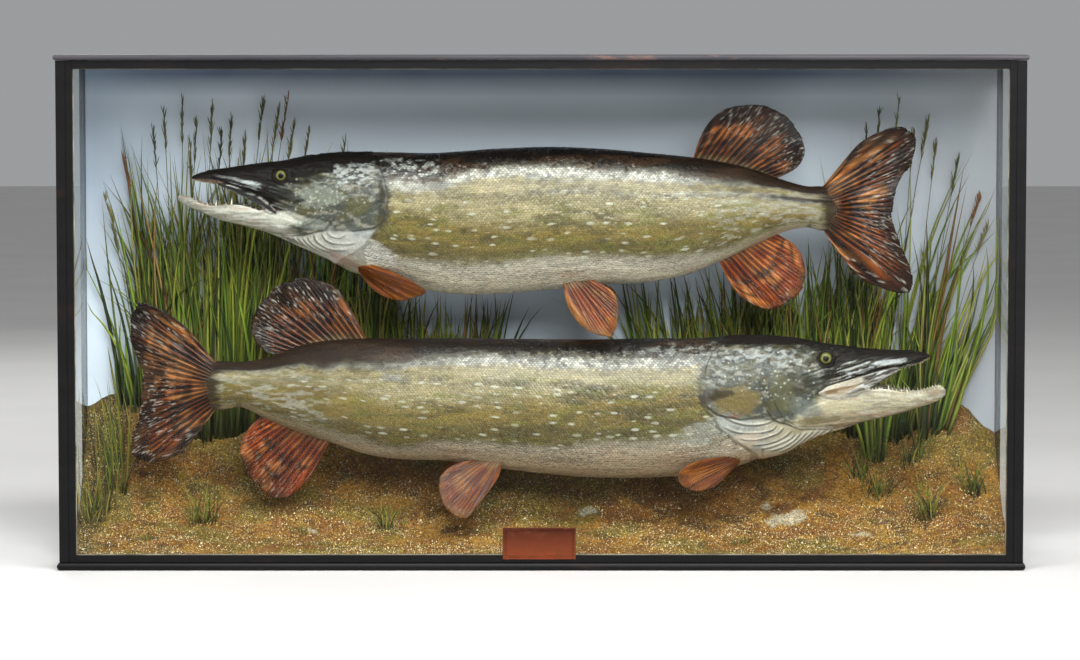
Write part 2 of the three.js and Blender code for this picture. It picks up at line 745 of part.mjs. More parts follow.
/** A bed of reeds, blades and clod in one. */
function reedBed(bed) {
  const y = ROOM.back - bed.back;
  let clump = clodShape(bed);
  for (let i = 0; i < bed.blades; i++) {
    const share = (i / (bed.blades - 1)) * 2 - 1;
    const place = [bed.x + share * bed.half, y + 5 * Math.sin(i * 1.9)];
    const tall = 0.78 + 0.22 * Math.cos(i * 2.4);
    const root = [...place, groundAt(...place) - BLADE.root];
    const height = (bed.top - root[2]) * tall;
    const lean = bed.lean + share * 0.1;
    clump = clump.add(bladeShape(root, height, lean, 0.05 * Math.sin(i * 2.9)));
  }
  return clump;
}

function addGroundAndReeds(group) {
  const [left, right] = [-ROOM.side + GAP, ROOM.side - GAP];
  const [near, far] = [ROOM.front + GAP, ROOM.back - GAP];
  const place = (i, j) => [
    left + ((right - left) * i) / GROUND.across,
    near + ((far - near) * j) / GROUND.along,
  ];
  const surface = (i, j) => [...place(i, j), groundAt(...place(i, j))];
  const floor = (i, j) => [...place(i, j), ROOM.floor + GAP];
  let ground = solid(between(GROUND.across, GROUND.along, surface, floor));
  for (const bed of REED_BEDS) {
    piece(group, bed.name, largest(reedBed(bed)), REED);
    ground = ground.subtract(clodShape(bed, GAP));
  }
  piece(group, "groundwork", largest(ground), SAND);
}

// ---------------------------------------------------------------- supports

// Rods from the backdrop to the far flank of each pike: how far behind the tip of the snout,
// and how high, in the pike's own frame.
const RODS = [
  { name: "lower_front", at: BIG_AT, faces: 1, back: 380, z: -60, pike: BIG_PIKE },
  { name: "lower_rear", at: BIG_AT, faces: 1, back: 640, z: -58, pike: BIG_PIKE },
  { name: "upper_front", at: SMALL_AT, faces: -1, back: 330, z: -50, pike: SMALL_PIKE },
  { name: "upper_rear", at: SMALL_AT, faces: -1, back: 620, z: -48, pike: SMALL_PIKE },
];
const ROD_RADIUS = 5;

function addRods(group) {
  for (const { name, at, faces, back, z, pike } of RODS) {
    const [, , , half] = rowAt(pike.body, back);
    const from = at.y + half + GAP;
    const to = ROOM.back - GAP;
    const rod = new THREE.CylinderGeometry(ROD_RADIUS, ROD_RADIUS, to - from, 10);
    rod.translate(at.x - faces * back, (from + to) / 2, at.z + z);
    piece(group, `rod_${name}`, rod, STEEL);
  }
}

// ---------------------------------------------------------------- assembly

const model = new THREE.Group();
addCase(model);
addPlaque(model);
addGroundAndReeds(model);
addRods(model);

const big = bigPike();
big.rotation.z = Math.PI;
big.position.set(BIG_AT.x, BIG_AT.y, BIG_AT.z);
model.add(big);

const small = smallPike();
small.position.set(SMALL_AT.x, SMALL_AT.y, SMALL_AT.z);
model.add(small);

export default model;
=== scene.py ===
"""The looks of two mounted pike in a glazed case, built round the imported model.

Everything is in metres in the model's frame: +X to the viewer's right, +Y away from the viewer
and +Z up, with the origin under the middle of the case.
"""

import itertools
import math
import random

import bmesh
import bpy
import numpy as np
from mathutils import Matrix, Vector


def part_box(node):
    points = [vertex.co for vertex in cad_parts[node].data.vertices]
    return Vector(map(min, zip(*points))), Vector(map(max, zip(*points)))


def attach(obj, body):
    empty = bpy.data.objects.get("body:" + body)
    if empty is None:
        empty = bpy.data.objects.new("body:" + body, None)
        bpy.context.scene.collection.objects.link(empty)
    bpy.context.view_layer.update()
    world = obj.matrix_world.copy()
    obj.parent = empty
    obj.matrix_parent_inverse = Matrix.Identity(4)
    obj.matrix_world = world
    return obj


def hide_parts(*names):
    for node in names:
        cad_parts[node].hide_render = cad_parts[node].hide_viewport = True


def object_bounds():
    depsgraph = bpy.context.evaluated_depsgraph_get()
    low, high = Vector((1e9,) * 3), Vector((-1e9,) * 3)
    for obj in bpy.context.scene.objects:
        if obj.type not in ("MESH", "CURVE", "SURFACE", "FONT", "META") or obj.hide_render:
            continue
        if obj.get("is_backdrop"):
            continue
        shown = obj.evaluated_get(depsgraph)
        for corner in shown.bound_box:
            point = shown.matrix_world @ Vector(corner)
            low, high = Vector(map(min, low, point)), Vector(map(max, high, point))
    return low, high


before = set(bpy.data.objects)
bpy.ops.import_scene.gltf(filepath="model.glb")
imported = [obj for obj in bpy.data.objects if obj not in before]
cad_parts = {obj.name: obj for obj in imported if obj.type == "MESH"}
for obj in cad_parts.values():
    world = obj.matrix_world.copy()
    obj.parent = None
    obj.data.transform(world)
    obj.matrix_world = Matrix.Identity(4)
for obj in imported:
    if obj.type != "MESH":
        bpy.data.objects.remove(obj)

CAD_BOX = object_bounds()
MM = 0.001

# ---------------------------------------------------------------- numbers


def linear(colour):
    """Linear RGB of a colour given as #rrggbb."""
    parts = [int(colour[i : i + 2], 16) / 255 for i in (1, 3, 5)]
    return np.array([p / 12.92 if p <= 0.04045 else ((p + 0.055) / 1.055) ** 2.4 for p in parts])


def smooth(low, high, value):
    """0 below low, 1 above high and a smooth step between. low may be the greater."""
    t = np.clip((value - low) / (high - low), 0, 1)
    return t * t * (3 - 2 * t)


def bell(distance, width):
    """1 at no distance, falling away on both sides."""
    return np.exp(-((distance / width) ** 2))


def blend(under, over, share):
    """Colours mixed by a share for each point."""
    share = np.clip(share, 0, 1)[:, None]
    return under * (1 - share) + over * share


def layered(colour, layers):
    """Colours with others laid over them in turn: pairs of a colour and its share at each point."""
    for over, share in layers:
        colour = blend(colour, over, share)
    return colour


def lattice_noise(points, cell, seed=0):
    """Smooth noise from 0 to 1 at many points, with cells of a size or of a size each way."""
    places = np.asarray(points, float) / np.asarray(cell, float) + seed * 17.31
    base = np.floor(places).astype(np.int64)
    part = places - base
    part = part * part * (3 - 2 * part)
    total = np.zeros(len(places))
    for corner in itertools.product((0, 1), repeat=places.shape[1]):
        at = base + np.array(corner)
        mixed = np.full(len(places), seed * 7919 + 12345, np.int64)
        for axis, prime in zip(at.T, (73856093, 19349663, 83492791)):
            mixed = (mixed ^ (axis * prime)) & 0x7FFFFFFF
            mixed = ((mixed ^ (mixed >> 15)) * 73244475) & 0x7FFFFFFF
        weight = np.prod(np.where(corner, part, 1 - part), axis=1)
        total += weight * ((mixed >> 7) & 0xFFFF) / 0xFFFF
    return total


def rough_noise(points, cell, seed=0, octaves=3):
    """Several layers of noise, each half as large as the one before, from 0 to 1."""
    total, whole, share = 0, 0, 1
    for octave in range(octaves):
        total = total + share * lattice_noise(points, np.asarray(cell, float) / 2**octave, seed + octave)
        whole += share
        share *= 0.5
    return total / whole


def wavering(points, cell, seed, octaves=3):
    """The same noise from -0.5 to 0.5."""
    return rough_noise(points, cell, seed, octaves) - 0.5


def patchy(points, cell, seed, low, high, octaves=3):
    """0 where the noise is below low and 1 where it is above high, with a smooth step between."""
    return smooth(low, high, rough_noise(points, cell, seed, octaves))


def row_at(rows, x):
    """The rows' values at many x, on the smooth curve through rows whose first value is x."""
    rows = np.asarray(rows, float)
    at = rows[:, 0]
    x = np.clip(np.asarray(x, float), at[0], at[-1])
    i = np.clip(np.searchsorted(at, x, side="right") - 1, 0, len(at) - 2)
    before, after = np.maximum(i - 1, 0), np.minimum(i + 2, len(at) - 1)
    span = (at[i + 1] - at[i])[:, None]
    t = (x - at[i])[:, None] / span
    slope_a = (rows[i + 1] - rows[before]) / (at[i + 1] - at[before])[:, None] * span
    slope_b = (rows[after] - rows[i]) / (at[after] - at[i])[:, None] * span
    return (
        (2 * t**3 - 3 * t**2 + 1) * rows[i]
        + (t**3 - 2 * t**2 + t) * slope_a
        + (3 * t**2 - 2 * t**3) * rows[i + 1]
        + (t**3 - t**2) * slope_b
    )


CURVE_STEPS = 40  # points worked out between two control points of a curve


def part_way(t, low, high, first, last):
    """Points at many t on the straight way from one point, at t low, to another, at t high."""
    return (high - t) / (high - low) * first + (t - low) / (high - low) * last


def line_through(points, count=400):
    """Evenly spaced points on a centripetal Catmull-Rom curve, and each control point's share."""
    points = np.asarray(points, float)
    ends = [2 * points[0] - points[1]], [2 * points[-1] - points[-2]]
    control = np.vstack([ends[0], points, ends[1]])
    knots = np.concatenate([[0], np.cumsum(np.linalg.norm(np.diff(control, axis=0), axis=1) ** 0.5)])
    dense, starts = [], []
    for i in range(1, len(control) - 2):
        t = np.linspace(knots[i], knots[i + 1], CURVE_STEPS, endpoint=False)[:, None]
        p, k = control[i - 1 : i + 3], knots[i - 1 : i + 3]
        a = [part_way(t, k[j], k[j + 1], p[j], p[j + 1]) for j in range(3)]
        b = [part_way(t, k[j], k[j + 2], a[j], a[j + 1]) for j in range(2)]
        starts.append(len(dense) * CURVE_STEPS)
        dense.append(part_way(t, k[1], k[2], b[0], b[1]))
    dense = np.vstack([*dense, points[-1:]])
    length = np.concatenate([[0], np.cumsum(np.linalg.norm(np.diff(dense, axis=0), axis=1))])
    length /= length[-1]
    shares = np.append(length[starts], 1)
    even = np.linspace(0, 1, count)
    return np.stack([np.interp(even, length, dense[:, k]) for k in range(dense.shape[1])], axis=1), shares


def on_line(line, share):
    """Points at shares of the length of an evenly spaced line."""
    even = np.linspace(0, 1, len(line))
    return np.stack([np.interp(share, even, line[:, k]) for k in range(line.shape[1])], axis=-1)


def nearest_on(flat, line):
    """For many flat points: distance from a line of straight pieces, share of the way along it
    and, over 0 on its left, how far to the side of the nearest piece, times that piece's length."""
    line = np.asarray(line, float)
    best = np.full(len(flat), np.inf)
    share, side = np.zeros(len(flat)), np.zeros(len(flat))
    for i, (a, b) in enumerate(zip(line[:-1], line[1:])):
        t = np.clip(((flat - a) @ (b - a)) / max((b - a) @ (b - a), 1e-12), 0, 1)
        away = np.linalg.norm(flat - a - t[:, None] * (b - a), axis=1)
        cross = (b - a)[0] * (flat - a)[:, 1] - (b - a)[1] * (flat - a)[:, 0]
        closer = away < best
        best = np.where(closer, away, best)
        share = np.where(closer, (i + t) / (len(line) - 1), share)
        side = np.where(closer, cross, side)
    return best, share, side


def distance_to(flat, line):
    """Distance of many flat points from a line, and the share of the way along it."""
    return nearest_on(flat, line)[:2]


def in_front(flat, line):
    """1 for points on the snout's side of a line that runs down the side of the head, else 0."""
    away, _, side = nearest_on(flat, line)
    return smooth(0.3, -0.3, side / np.maximum(away, 1))


# ---------------------------------------------------------------- meshes and materials


def new_mesh(name, points, faces):
    """A mesh from arrays or lists of points and faces."""
    mesh = bpy.data.meshes.new(name)
    faces = faces if isinstance(faces, list) else faces.tolist()
    mesh.from_pydata(np.asarray(points).tolist(), [], faces)
    mesh.validate()
    return mesh


def new_piece(name, mesh, material, replaces=(), smooth_faces=True):
    """An object that rides on the model's one body."""
    mesh.polygons.foreach_set("use_smooth", [smooth_faces] * len(mesh.polygons))
    mesh.materials.clear()
    mesh.materials.append(material)
    piece = bpy.data.objects.new(name, mesh)
    bpy.context.scene.collection.objects.link(piece)
    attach(piece, "root")
    if replaces:
        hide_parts(*replaces)


def set_colours(mesh, colours):
    layer = mesh.color_attributes.new(name="tint", type="FLOAT_COLOR", domain="POINT")
    whole = np.ones((len(colours), 4), np.float32)
    whole[:, :3] = np.clip(colours, 0, 1)
    layer.data.foreach_set("color", whole.ravel())


def set_values(mesh, name, values):
    layer = mesh.attributes.new(name=name, type="FLOAT", domain="POINT")
    layer.data.foreach_set("value", np.asarray(values, np.float32))


def points_of(mesh):
    points = np.empty(len(mesh.vertices) * 3)
    mesh.vertices.foreach_get("co", points)
    return points.reshape(-1, 3)


def normals_of(mesh):
    normals = np.empty(len(mesh.vertices) * 3)
    mesh.vertices.foreach_get("normal", normals)
    return normals.reshape(-1, 3)


def grid_faces(rows, columns, closed=False, first=0):
    """Four-sided faces of a grid of points, row by row, round which the columns may close."""
    i, j = np.meshgrid(np.arange(rows - 1), np.arange(columns if closed else columns - 1), indexing="ij")
    k = (j + 1) % columns
    here, after = i * columns, (i + 1) * columns
    return first + np.stack([here + j, here + k, after + k, after + j], axis=-1).reshape(-1, 4)


def grid_rim(rows, columns):
    """The points round the outside of a grid, in order."""
    return np.concatenate([
        np.arange(columns), columns * np.arange(1, rows) + columns - 1,
        columns * (rows - 1) + np.arange(columns - 2, -1, -1), columns * np.arange(rows - 2, 0, -1),
    ])


def round_angles(sides):
    """Angles of evenly spaced points round a circle."""
    return np.linspace(0, 2 * math.pi, sides, endpoint=False)


def loft(rings):
    """Points and faces of the closed skin over rings of points."""
    count, sides = rings.shape[:2]
    faces = grid_faces(count, sides, closed=True).tolist()
    faces.append(list(range(sides))[::-1])
    faces.append(list(range((count - 1) * sides, count * sides)))
    return rings.reshape(-1, 3), faces


def joined(shapes):
    """One list of points and faces from several."""
    points, faces, first = [], [], 0
    for some_points, some_faces in shapes:
        points.append(some_points)
        faces += [[first + i for i in face] for face in some_faces]
        first += len(some_points)
    return np.vstack(points), faces


class Shader:
    """A material's node tree, with a short way to add nodes to it."""

    def __init__(self, name):
        self.material = bpy.data.materials.new(name)
        self.material.use_nodes = True
        self.tree = self.material.node_tree
        self.surface = self.tree.nodes["Principled BSDF"]

    def set(self, node, socket, value):
        """Sets a socket of a node, or links another node's output to it."""
        place = node.inputs[socket]
        if isinstance(value, bpy.types.NodeSocket):
            self.tree.links.new(value, place)
        elif isinstance(value, str):
            place.default_value = (*linear(value), 1)
        else:
            place.default_value = value

    def add(self, kind, sockets=None, **settings):
        node = self.tree.nodes.new("ShaderNode" + kind)
        for key, value in settings.items():
            setattr(node, key, value)
        for socket, value in (sockets or {}).items():
            self.set(node, socket, value)
        return node

    def place(self, scale=(1, 1, 1)):
        """The point on the model, stretched."""
        where = self.add("NewGeometry").outputs["Position"]
        return self.add("VectorMath", {0: where, 1: scale}, operation="MULTIPLY").outputs[0]

    def noise(self, scale, detail=2, stretch=(1, 1, 1), rough=0.5):
        """Noise in the model's own space."""
        sockets = {"Vector": self.place(stretch), "Scale": scale, "Detail": detail, "Roughness": rough}
        return self.add("TexNoise", sockets).outputs["Fac"]

    def cells(self, scale):
        """Distance to the nearest of many scattered points."""
        return self.add("TexVoronoi", {"Vector": self.place(), "Scale": scale}).outputs["Distance"]

    def ramp(self, value, low, high, to_low=0.0, to_high=1.0):
        """A value's place between low and high, as a number between two others."""
        sockets = {"Value": value, "From Min": low, "From Max": high, "To Min": to_low, "To Max": to_high}
        return self.add("MapRange", sockets, clamp=True).outputs["Result"]

    def math(self, operation, a, b):
        return self.add("Math", {0: a, 1: b}, operation=operation).outputs[0]

    def mix(self, share, under, over, kind="MIX"):
        """Two colours mixed by a share."""
        node = self.add("Mix", data_type="RGBA", blend_type=kind)
        for index, value in ((0, share), (6, under), (7, over)):
            self.set(node, index, value)
        return node.outputs[2]

    def read(self, name, output="Color"):
        return self.add("Attribute", attribute_name=name).outputs[output]

    def shaded(self, shade):
        """The mesh's own colour made lighter or darker."""
        grey = self.add("CombineColor", {0: shade, 1: shade, 2: shade}).outputs[0]
        return self.mix(1.0, self.read("tint"), grey, "MULTIPLY")

    def bump(self, height, distance, strength=1.0, after=None):
        """Normals bent by a height, on top of those bent before."""
        sockets = {"Height": height, "Distance": distance, "Strength": strength}
        if after is not None:
            sockets["Normal"] = after
        return self.add("Bump", sockets).outputs["Normal"]

    def done(self, **surface):
        """The finished material, with these sockets set."""
        for socket, value in surface.items():
            self.set(self.surface, socket.replace("_", " "), value)
        return self.material


# ---------------------------------------------------------------- the two pikes' sizes

# Each pike has its own frame in millimetres: x runs back from the tip of its snout, z is up and
# y is out from its middle plane. A body row is x, back, underside, half width and the share of
# the height where it is widest. These are the sizes of the solids.

BIG = {
    "name": "pike",
    "at": np.array([511.0, -10.0, 269.5]),
    "faces": 1,
    "flesh": ["pike_head", "pike_lower_jaw", "pike_shoulders", "pike_belly", "pike_loin", "pike_tail_stem"],
    "in_full": True,  # its eyes and fins are nodes of their own
    "voxel": 1.25,  # fineness of the head's mesh, in millimetres
    "body": [
        [0, -1, -5, 9, 0.5], [12, 3, -11, 18, 0.5], [45, 4, -21, 25, 0.45], [80, 6.5, -33, 30, 0.42],
        [115, 11.5, -48, 35, 0.42], [140, 15.5, -75, 41, 0.45], [165, 20, -106, 47, 0.48],
        [200, 23.7, -128, 53, 0.5], [250, 25, -147, 59, 0.5], [304, 21, -158, 61, 0.5],
        [370, 21, -163, 63, 0.52], [435, 19.5, -163, 64, 0.53], [500, 19.8, -158.5, 63, 0.53],
        [565, 20.4, -151, 60, 0.53], [635, 21, -141, 55, 0.53], [700, 20.5, -138.5, 51, 0.53],
        [742, 21, -132, 46, 0.53], [790, 18.5, -116, 38, 0.53], [830, 11, -103, 30, 0.53],
        [870, -4, -87, 23, 0.52], [905, -9.7, -71, 18, 0.5], [935, -9, -74, 13, 0.5],
        [957, -14, -70, 6, 0.5],
    ],
    "jaw": [
        [-21, -46, -54, 9], [-14, -41.5, -60, 16], [1, -46, -66, 22], [20, -49.5, -72, 27],
        [41, -46, -78.5, 31], [67, -42, -84.5, 34], [96, -46, -91, 37.5], [125, -55, -95, 41],
        [155, -65, -96, 45], [180, -75, -91, 46],
    ],
    "throat": [
        [85, -80, -88.5, 5], [107, -80, -96.5, 13], [133, -80, -104.5, 21], [160, -80, -114.5, 29],
        [190, -80, -131, 37], [220, -80, -139, 42],
    ],
    "eye": {"x": 139, "z": -3.3, "radius": 9.5, "out": 27.5},
    "maxilla": [
        [38, -16.5, 1.5], [49, -19.8, 4], [66, -28, 7], [84, -35, 9.2], [105, -41.2, 9.6], [124, -45.2, 9],
        [137, -46.8, 6.8], [147, -48.5, 2],
    ],
    "maxilla_paint": ("#c9bda6", "#7f6038", 0.85),
    "gill_edge": [
        [262, 22], [280, 12], [287, 5], [295, -10.5], [300, -27.7], [304, -44.8], [300, -60.6], [282, -75],
        [252, -81], [224, -79],
    ],
    "cheek_edge": [
        [216, 4], [220.4, -16.5], [225.3, -30.3], [224, -46], [220, -59.3], [216, -71], [209.5, -80.4],
        [200, -86], [190, -88], [177, -94], [168, -96.5], [134.4, -97], [92, -91],
    ],
    "inner_edge": [
        [214, -14], [218.7, -40.8], [208, -58], [197.6, -76.4], [188, -84], [177.9, -91], [160, -92],
        [134, -92], [108, -89],
    ],
    "folds_under": [[100, -93], [134, -97.5], [168, -97], [184, -90], [200, -86], [224, -80], [284, -76]],
    "breast_under": [
        [100, -104], [142, -112], [168, -121], [200, -130], [224, -128], [250, -124], [284, -96],
    ],
    "bare_edge": [
        [262, 30], [280, 12], [287, 5], [295, -10.5], [300, -27.7], [304, -44.8], [300, -60.6], [284, -78],
        [278, -92], [260, -106], [242, -118], [228, -128], [218, -150],
    ],
    "folds": [
        [[208, -84], [217, -88], [230.6, -90.2], [247.7, -89], [263.5, -84], [276.7, -76.4]],
        [[201.6, -89], [208, -96], [221, -100], [237, -101.4], [253, -100], [266, -96], [276.7, -91]],
        [[192.4, -91.6], [199, -100], [211, -105.4], [226.6, -110], [239.8, -110.7], [255.6, -108]],
        [[181.8, -97.5], [191, -106], [204, -112.6], [217.4, -116], [237, -118]],
        [[175.2, -100], [184.4, -109.4], [197.6, -116], [210.8, -120.6], [226.6, -123.8]],
        [[168.6, -100], [178, -110.7], [188.4, -118], [200.3, -123.2], [213.4, -126.5]],
        [[160.7, -100], [171.3, -110.7], [180.5, -119], [191, -125], [200, -128.5]],
        [[152.8, -99.5], [163.4, -109.4], [172.6, -118], [184.4, -125.8]],
        [[144.9, -98.8], [155.5, -108], [164.7, -116], [172.6, -122.5]],
        [[137, -98.2], [146.2, -106], [155.5, -113.3]],
        [[127.8, -97.5], [135.7, -104], [142.3, -108.7]],
    ],
    "black_above": [[0, -34], [30, -24], [60, -7], [90, -2], [120, 1], [171, 10], [200, 12], [320, 11]],
    # Painted patches of the head: x, z, half length, half depth, slope, colour, share and raggedness. The
    # pale grey ones on the snout and the top of the gill cover are painted highlights.
    "patches": [
        (176, -34, 28, 13, 0.1, "#2f2e24", 0.65, 1.0), (168, -66, 28, 14, 0.2, "#62675f", 0.75, 0.7),
        (120, -66, 34, 10, 0.1, "#b5aa86", 0.7, 0.6), (150, -84, 42, 5, -0.12, "#6f6438", 0.7, 0.8),
        (196, -46, 16, 26, 0.2, "#4f4c22", 0.6, 0.9), (180, -8, 34, 8, 0, "#8f928c", 0.6, 1.4),
        (57, -8, 24, 3.4, -0.10, "#bfc2c2", 0.7, 1.0), (100, -23, 24, 6, -0.28, "#aeb1b1", 0.5, 1.3),
        (62, -25, 22, 1.6, -0.14, "#a58a78", 0.7, 0.6),
    ],
    # Patches over head and shoulder, in the same columns; the pale grey, most ragged ones high on the
    # shoulder are painted highlights.
    "shoulder_patches": [
        (286, -14, 24, 26, 0, "#8d8f86", 0.5, 1.6), (232, 2, 66, 8, 0, "#a0a39f", 0.55, 1.7),
        (256, -56, 32, 19, 0, "#6a5925", 0.9, 0.7), (286, -50, 24, 9, -0.25, "#2a2110", 0.85, 1.0),
        (258, -76, 11, 4.5, -0.1, "#6b4526", 0.6, 1.0), (330, 4, 60, 12, 0, "#98988f", 0.45, 1.5),
        (300, -98, 36, 17, -0.3, "#b2b2aa", 0.42, 0.8), (256, -116, 34, 13, -0.35, "#c6b49e", 0.7, 0.8),
    ],
    "belly": "#b2a186",
    "breast": "#c4ab90",
    # By x: how far the dark back and the pale upper flank come down, how far the pale belly
    # reaches up, each as a share of the height, and how much of its shine the back has lost.
    "dark_down": [(600, 0.0), (700, 0.04), (797, 0.08), (850, 0.0)],
    "pale_down": [(300, -0.11), (390, -0.13), (450, -0.05), (490, 0.0), (590, 0.06), (700, 0.1), (800, 0.0)],
    "belly_up": [(290, 0.02), (350, 0.08), (420, 0.08), (480, 0.0), (580, 0.0), (700, -0.1)],
    "dull_back": [(580, 0.0), (680, 0.45), (780, 0.8), (840, 1.0)],
    "stem_tone": 0.88,  # how light the tail stem is against the trunk
    "gloss": 0.92,  # how light the painted glints on the scales of the back are
    "jaw_tone": "#bdb294",
    "snout_shine": 0.6,  # share of the painted glints, pale streaks on the ridges of the snout
    "fin_detail": 1.0,  # fineness of the fins' meshes
    "tooth_gap": 1.0,  # spacing of the teeth against the lower fish's
    "scales_from": 234,  # x of the first ring of scales, and where the scales and the flesh end
    "tail_end": 948,
    "seed": 11,
    "fins": {
        "dorsal": {
            "root": [[738.7, 16], [790, 12], [843.6, -3]],
            "edge": [
                [738.7, 16], [762.3, 62], [785.9, 92], [828, 101.5], [867, 84.5], [890.8, 51.5],
                [892.2, 29], [877.7, 6.6], [850, -4],
            ],
            "corners": (2.3, 7), "rays": 17, "kind": "dark", "shade": 0.6,
        },
        "anal": {
            "root": [[785.9, -111], [830, -97], [873.8, -78]],
            "edge": [
                [785.9, -111], [799, -133], [821.3, -168.7], [847.6, -191], [869.9, -190],
                [893.5, -167.4], [906.6, -139.7], [906.6, -113.3], [893.5, -95], [876, -80],
            ],
            "corners": (3, 8), "rays": 15, "kind": "red",
        },
        "caudal": {
            "root": [[935, -15], [951, -37], [935, -68]],
            "edge": [
                [935, -15], [955, 5.3], [978.8, 37], [1011.6, 59.3], [1037.8, 68.5], [1049.6, 58],
                [1053.5, 31.6], [1045.7, 0], [1037.8, -27.7], [1040.4, -60.6], [1044, -90],
                [1052.2, -116], [1049.6, -134.4], [1027.3, -144.3], [995.8, -137], [969.6, -113.3],
                [951, -88.3], [935, -68],
            ],
            "corners": (4, 13), "rays": 19, "kind": "tail", "shade": 0.82, "stout": 7.0,
        },
        "pelvic": {
            "root": [[561.5, -138], [578, -137], [594.3, -136]],
            "edge": [
                [561.5, -138], [566.8, -158.2], [585.2, -184.5], [611.4, -213], [631, -205],
                [645.5, -182], [645.5, -161], [628.4, -144], [594.3, -136],
            ],
            "corners": (3, 6.4), "rays": 10, "kind": "edged", "shade": 0.75, "spread": 0.3,
        },
        "pectoral": {
            "root": [[244, -130], [245, -134], [248, -140]],
            "edge": [
                [244, -130], [283.4, -132.5], [316.2, -138.4], [333.2, -151.6], [329.3, -167.4],
                [307, -176], [284.7, -171.3], [267.6, -156.8], [248, -140],
            ],
            "corners": (3, 6), "rays": 12, "kind": "plain", "spread": 0.34,
        },
    },
}

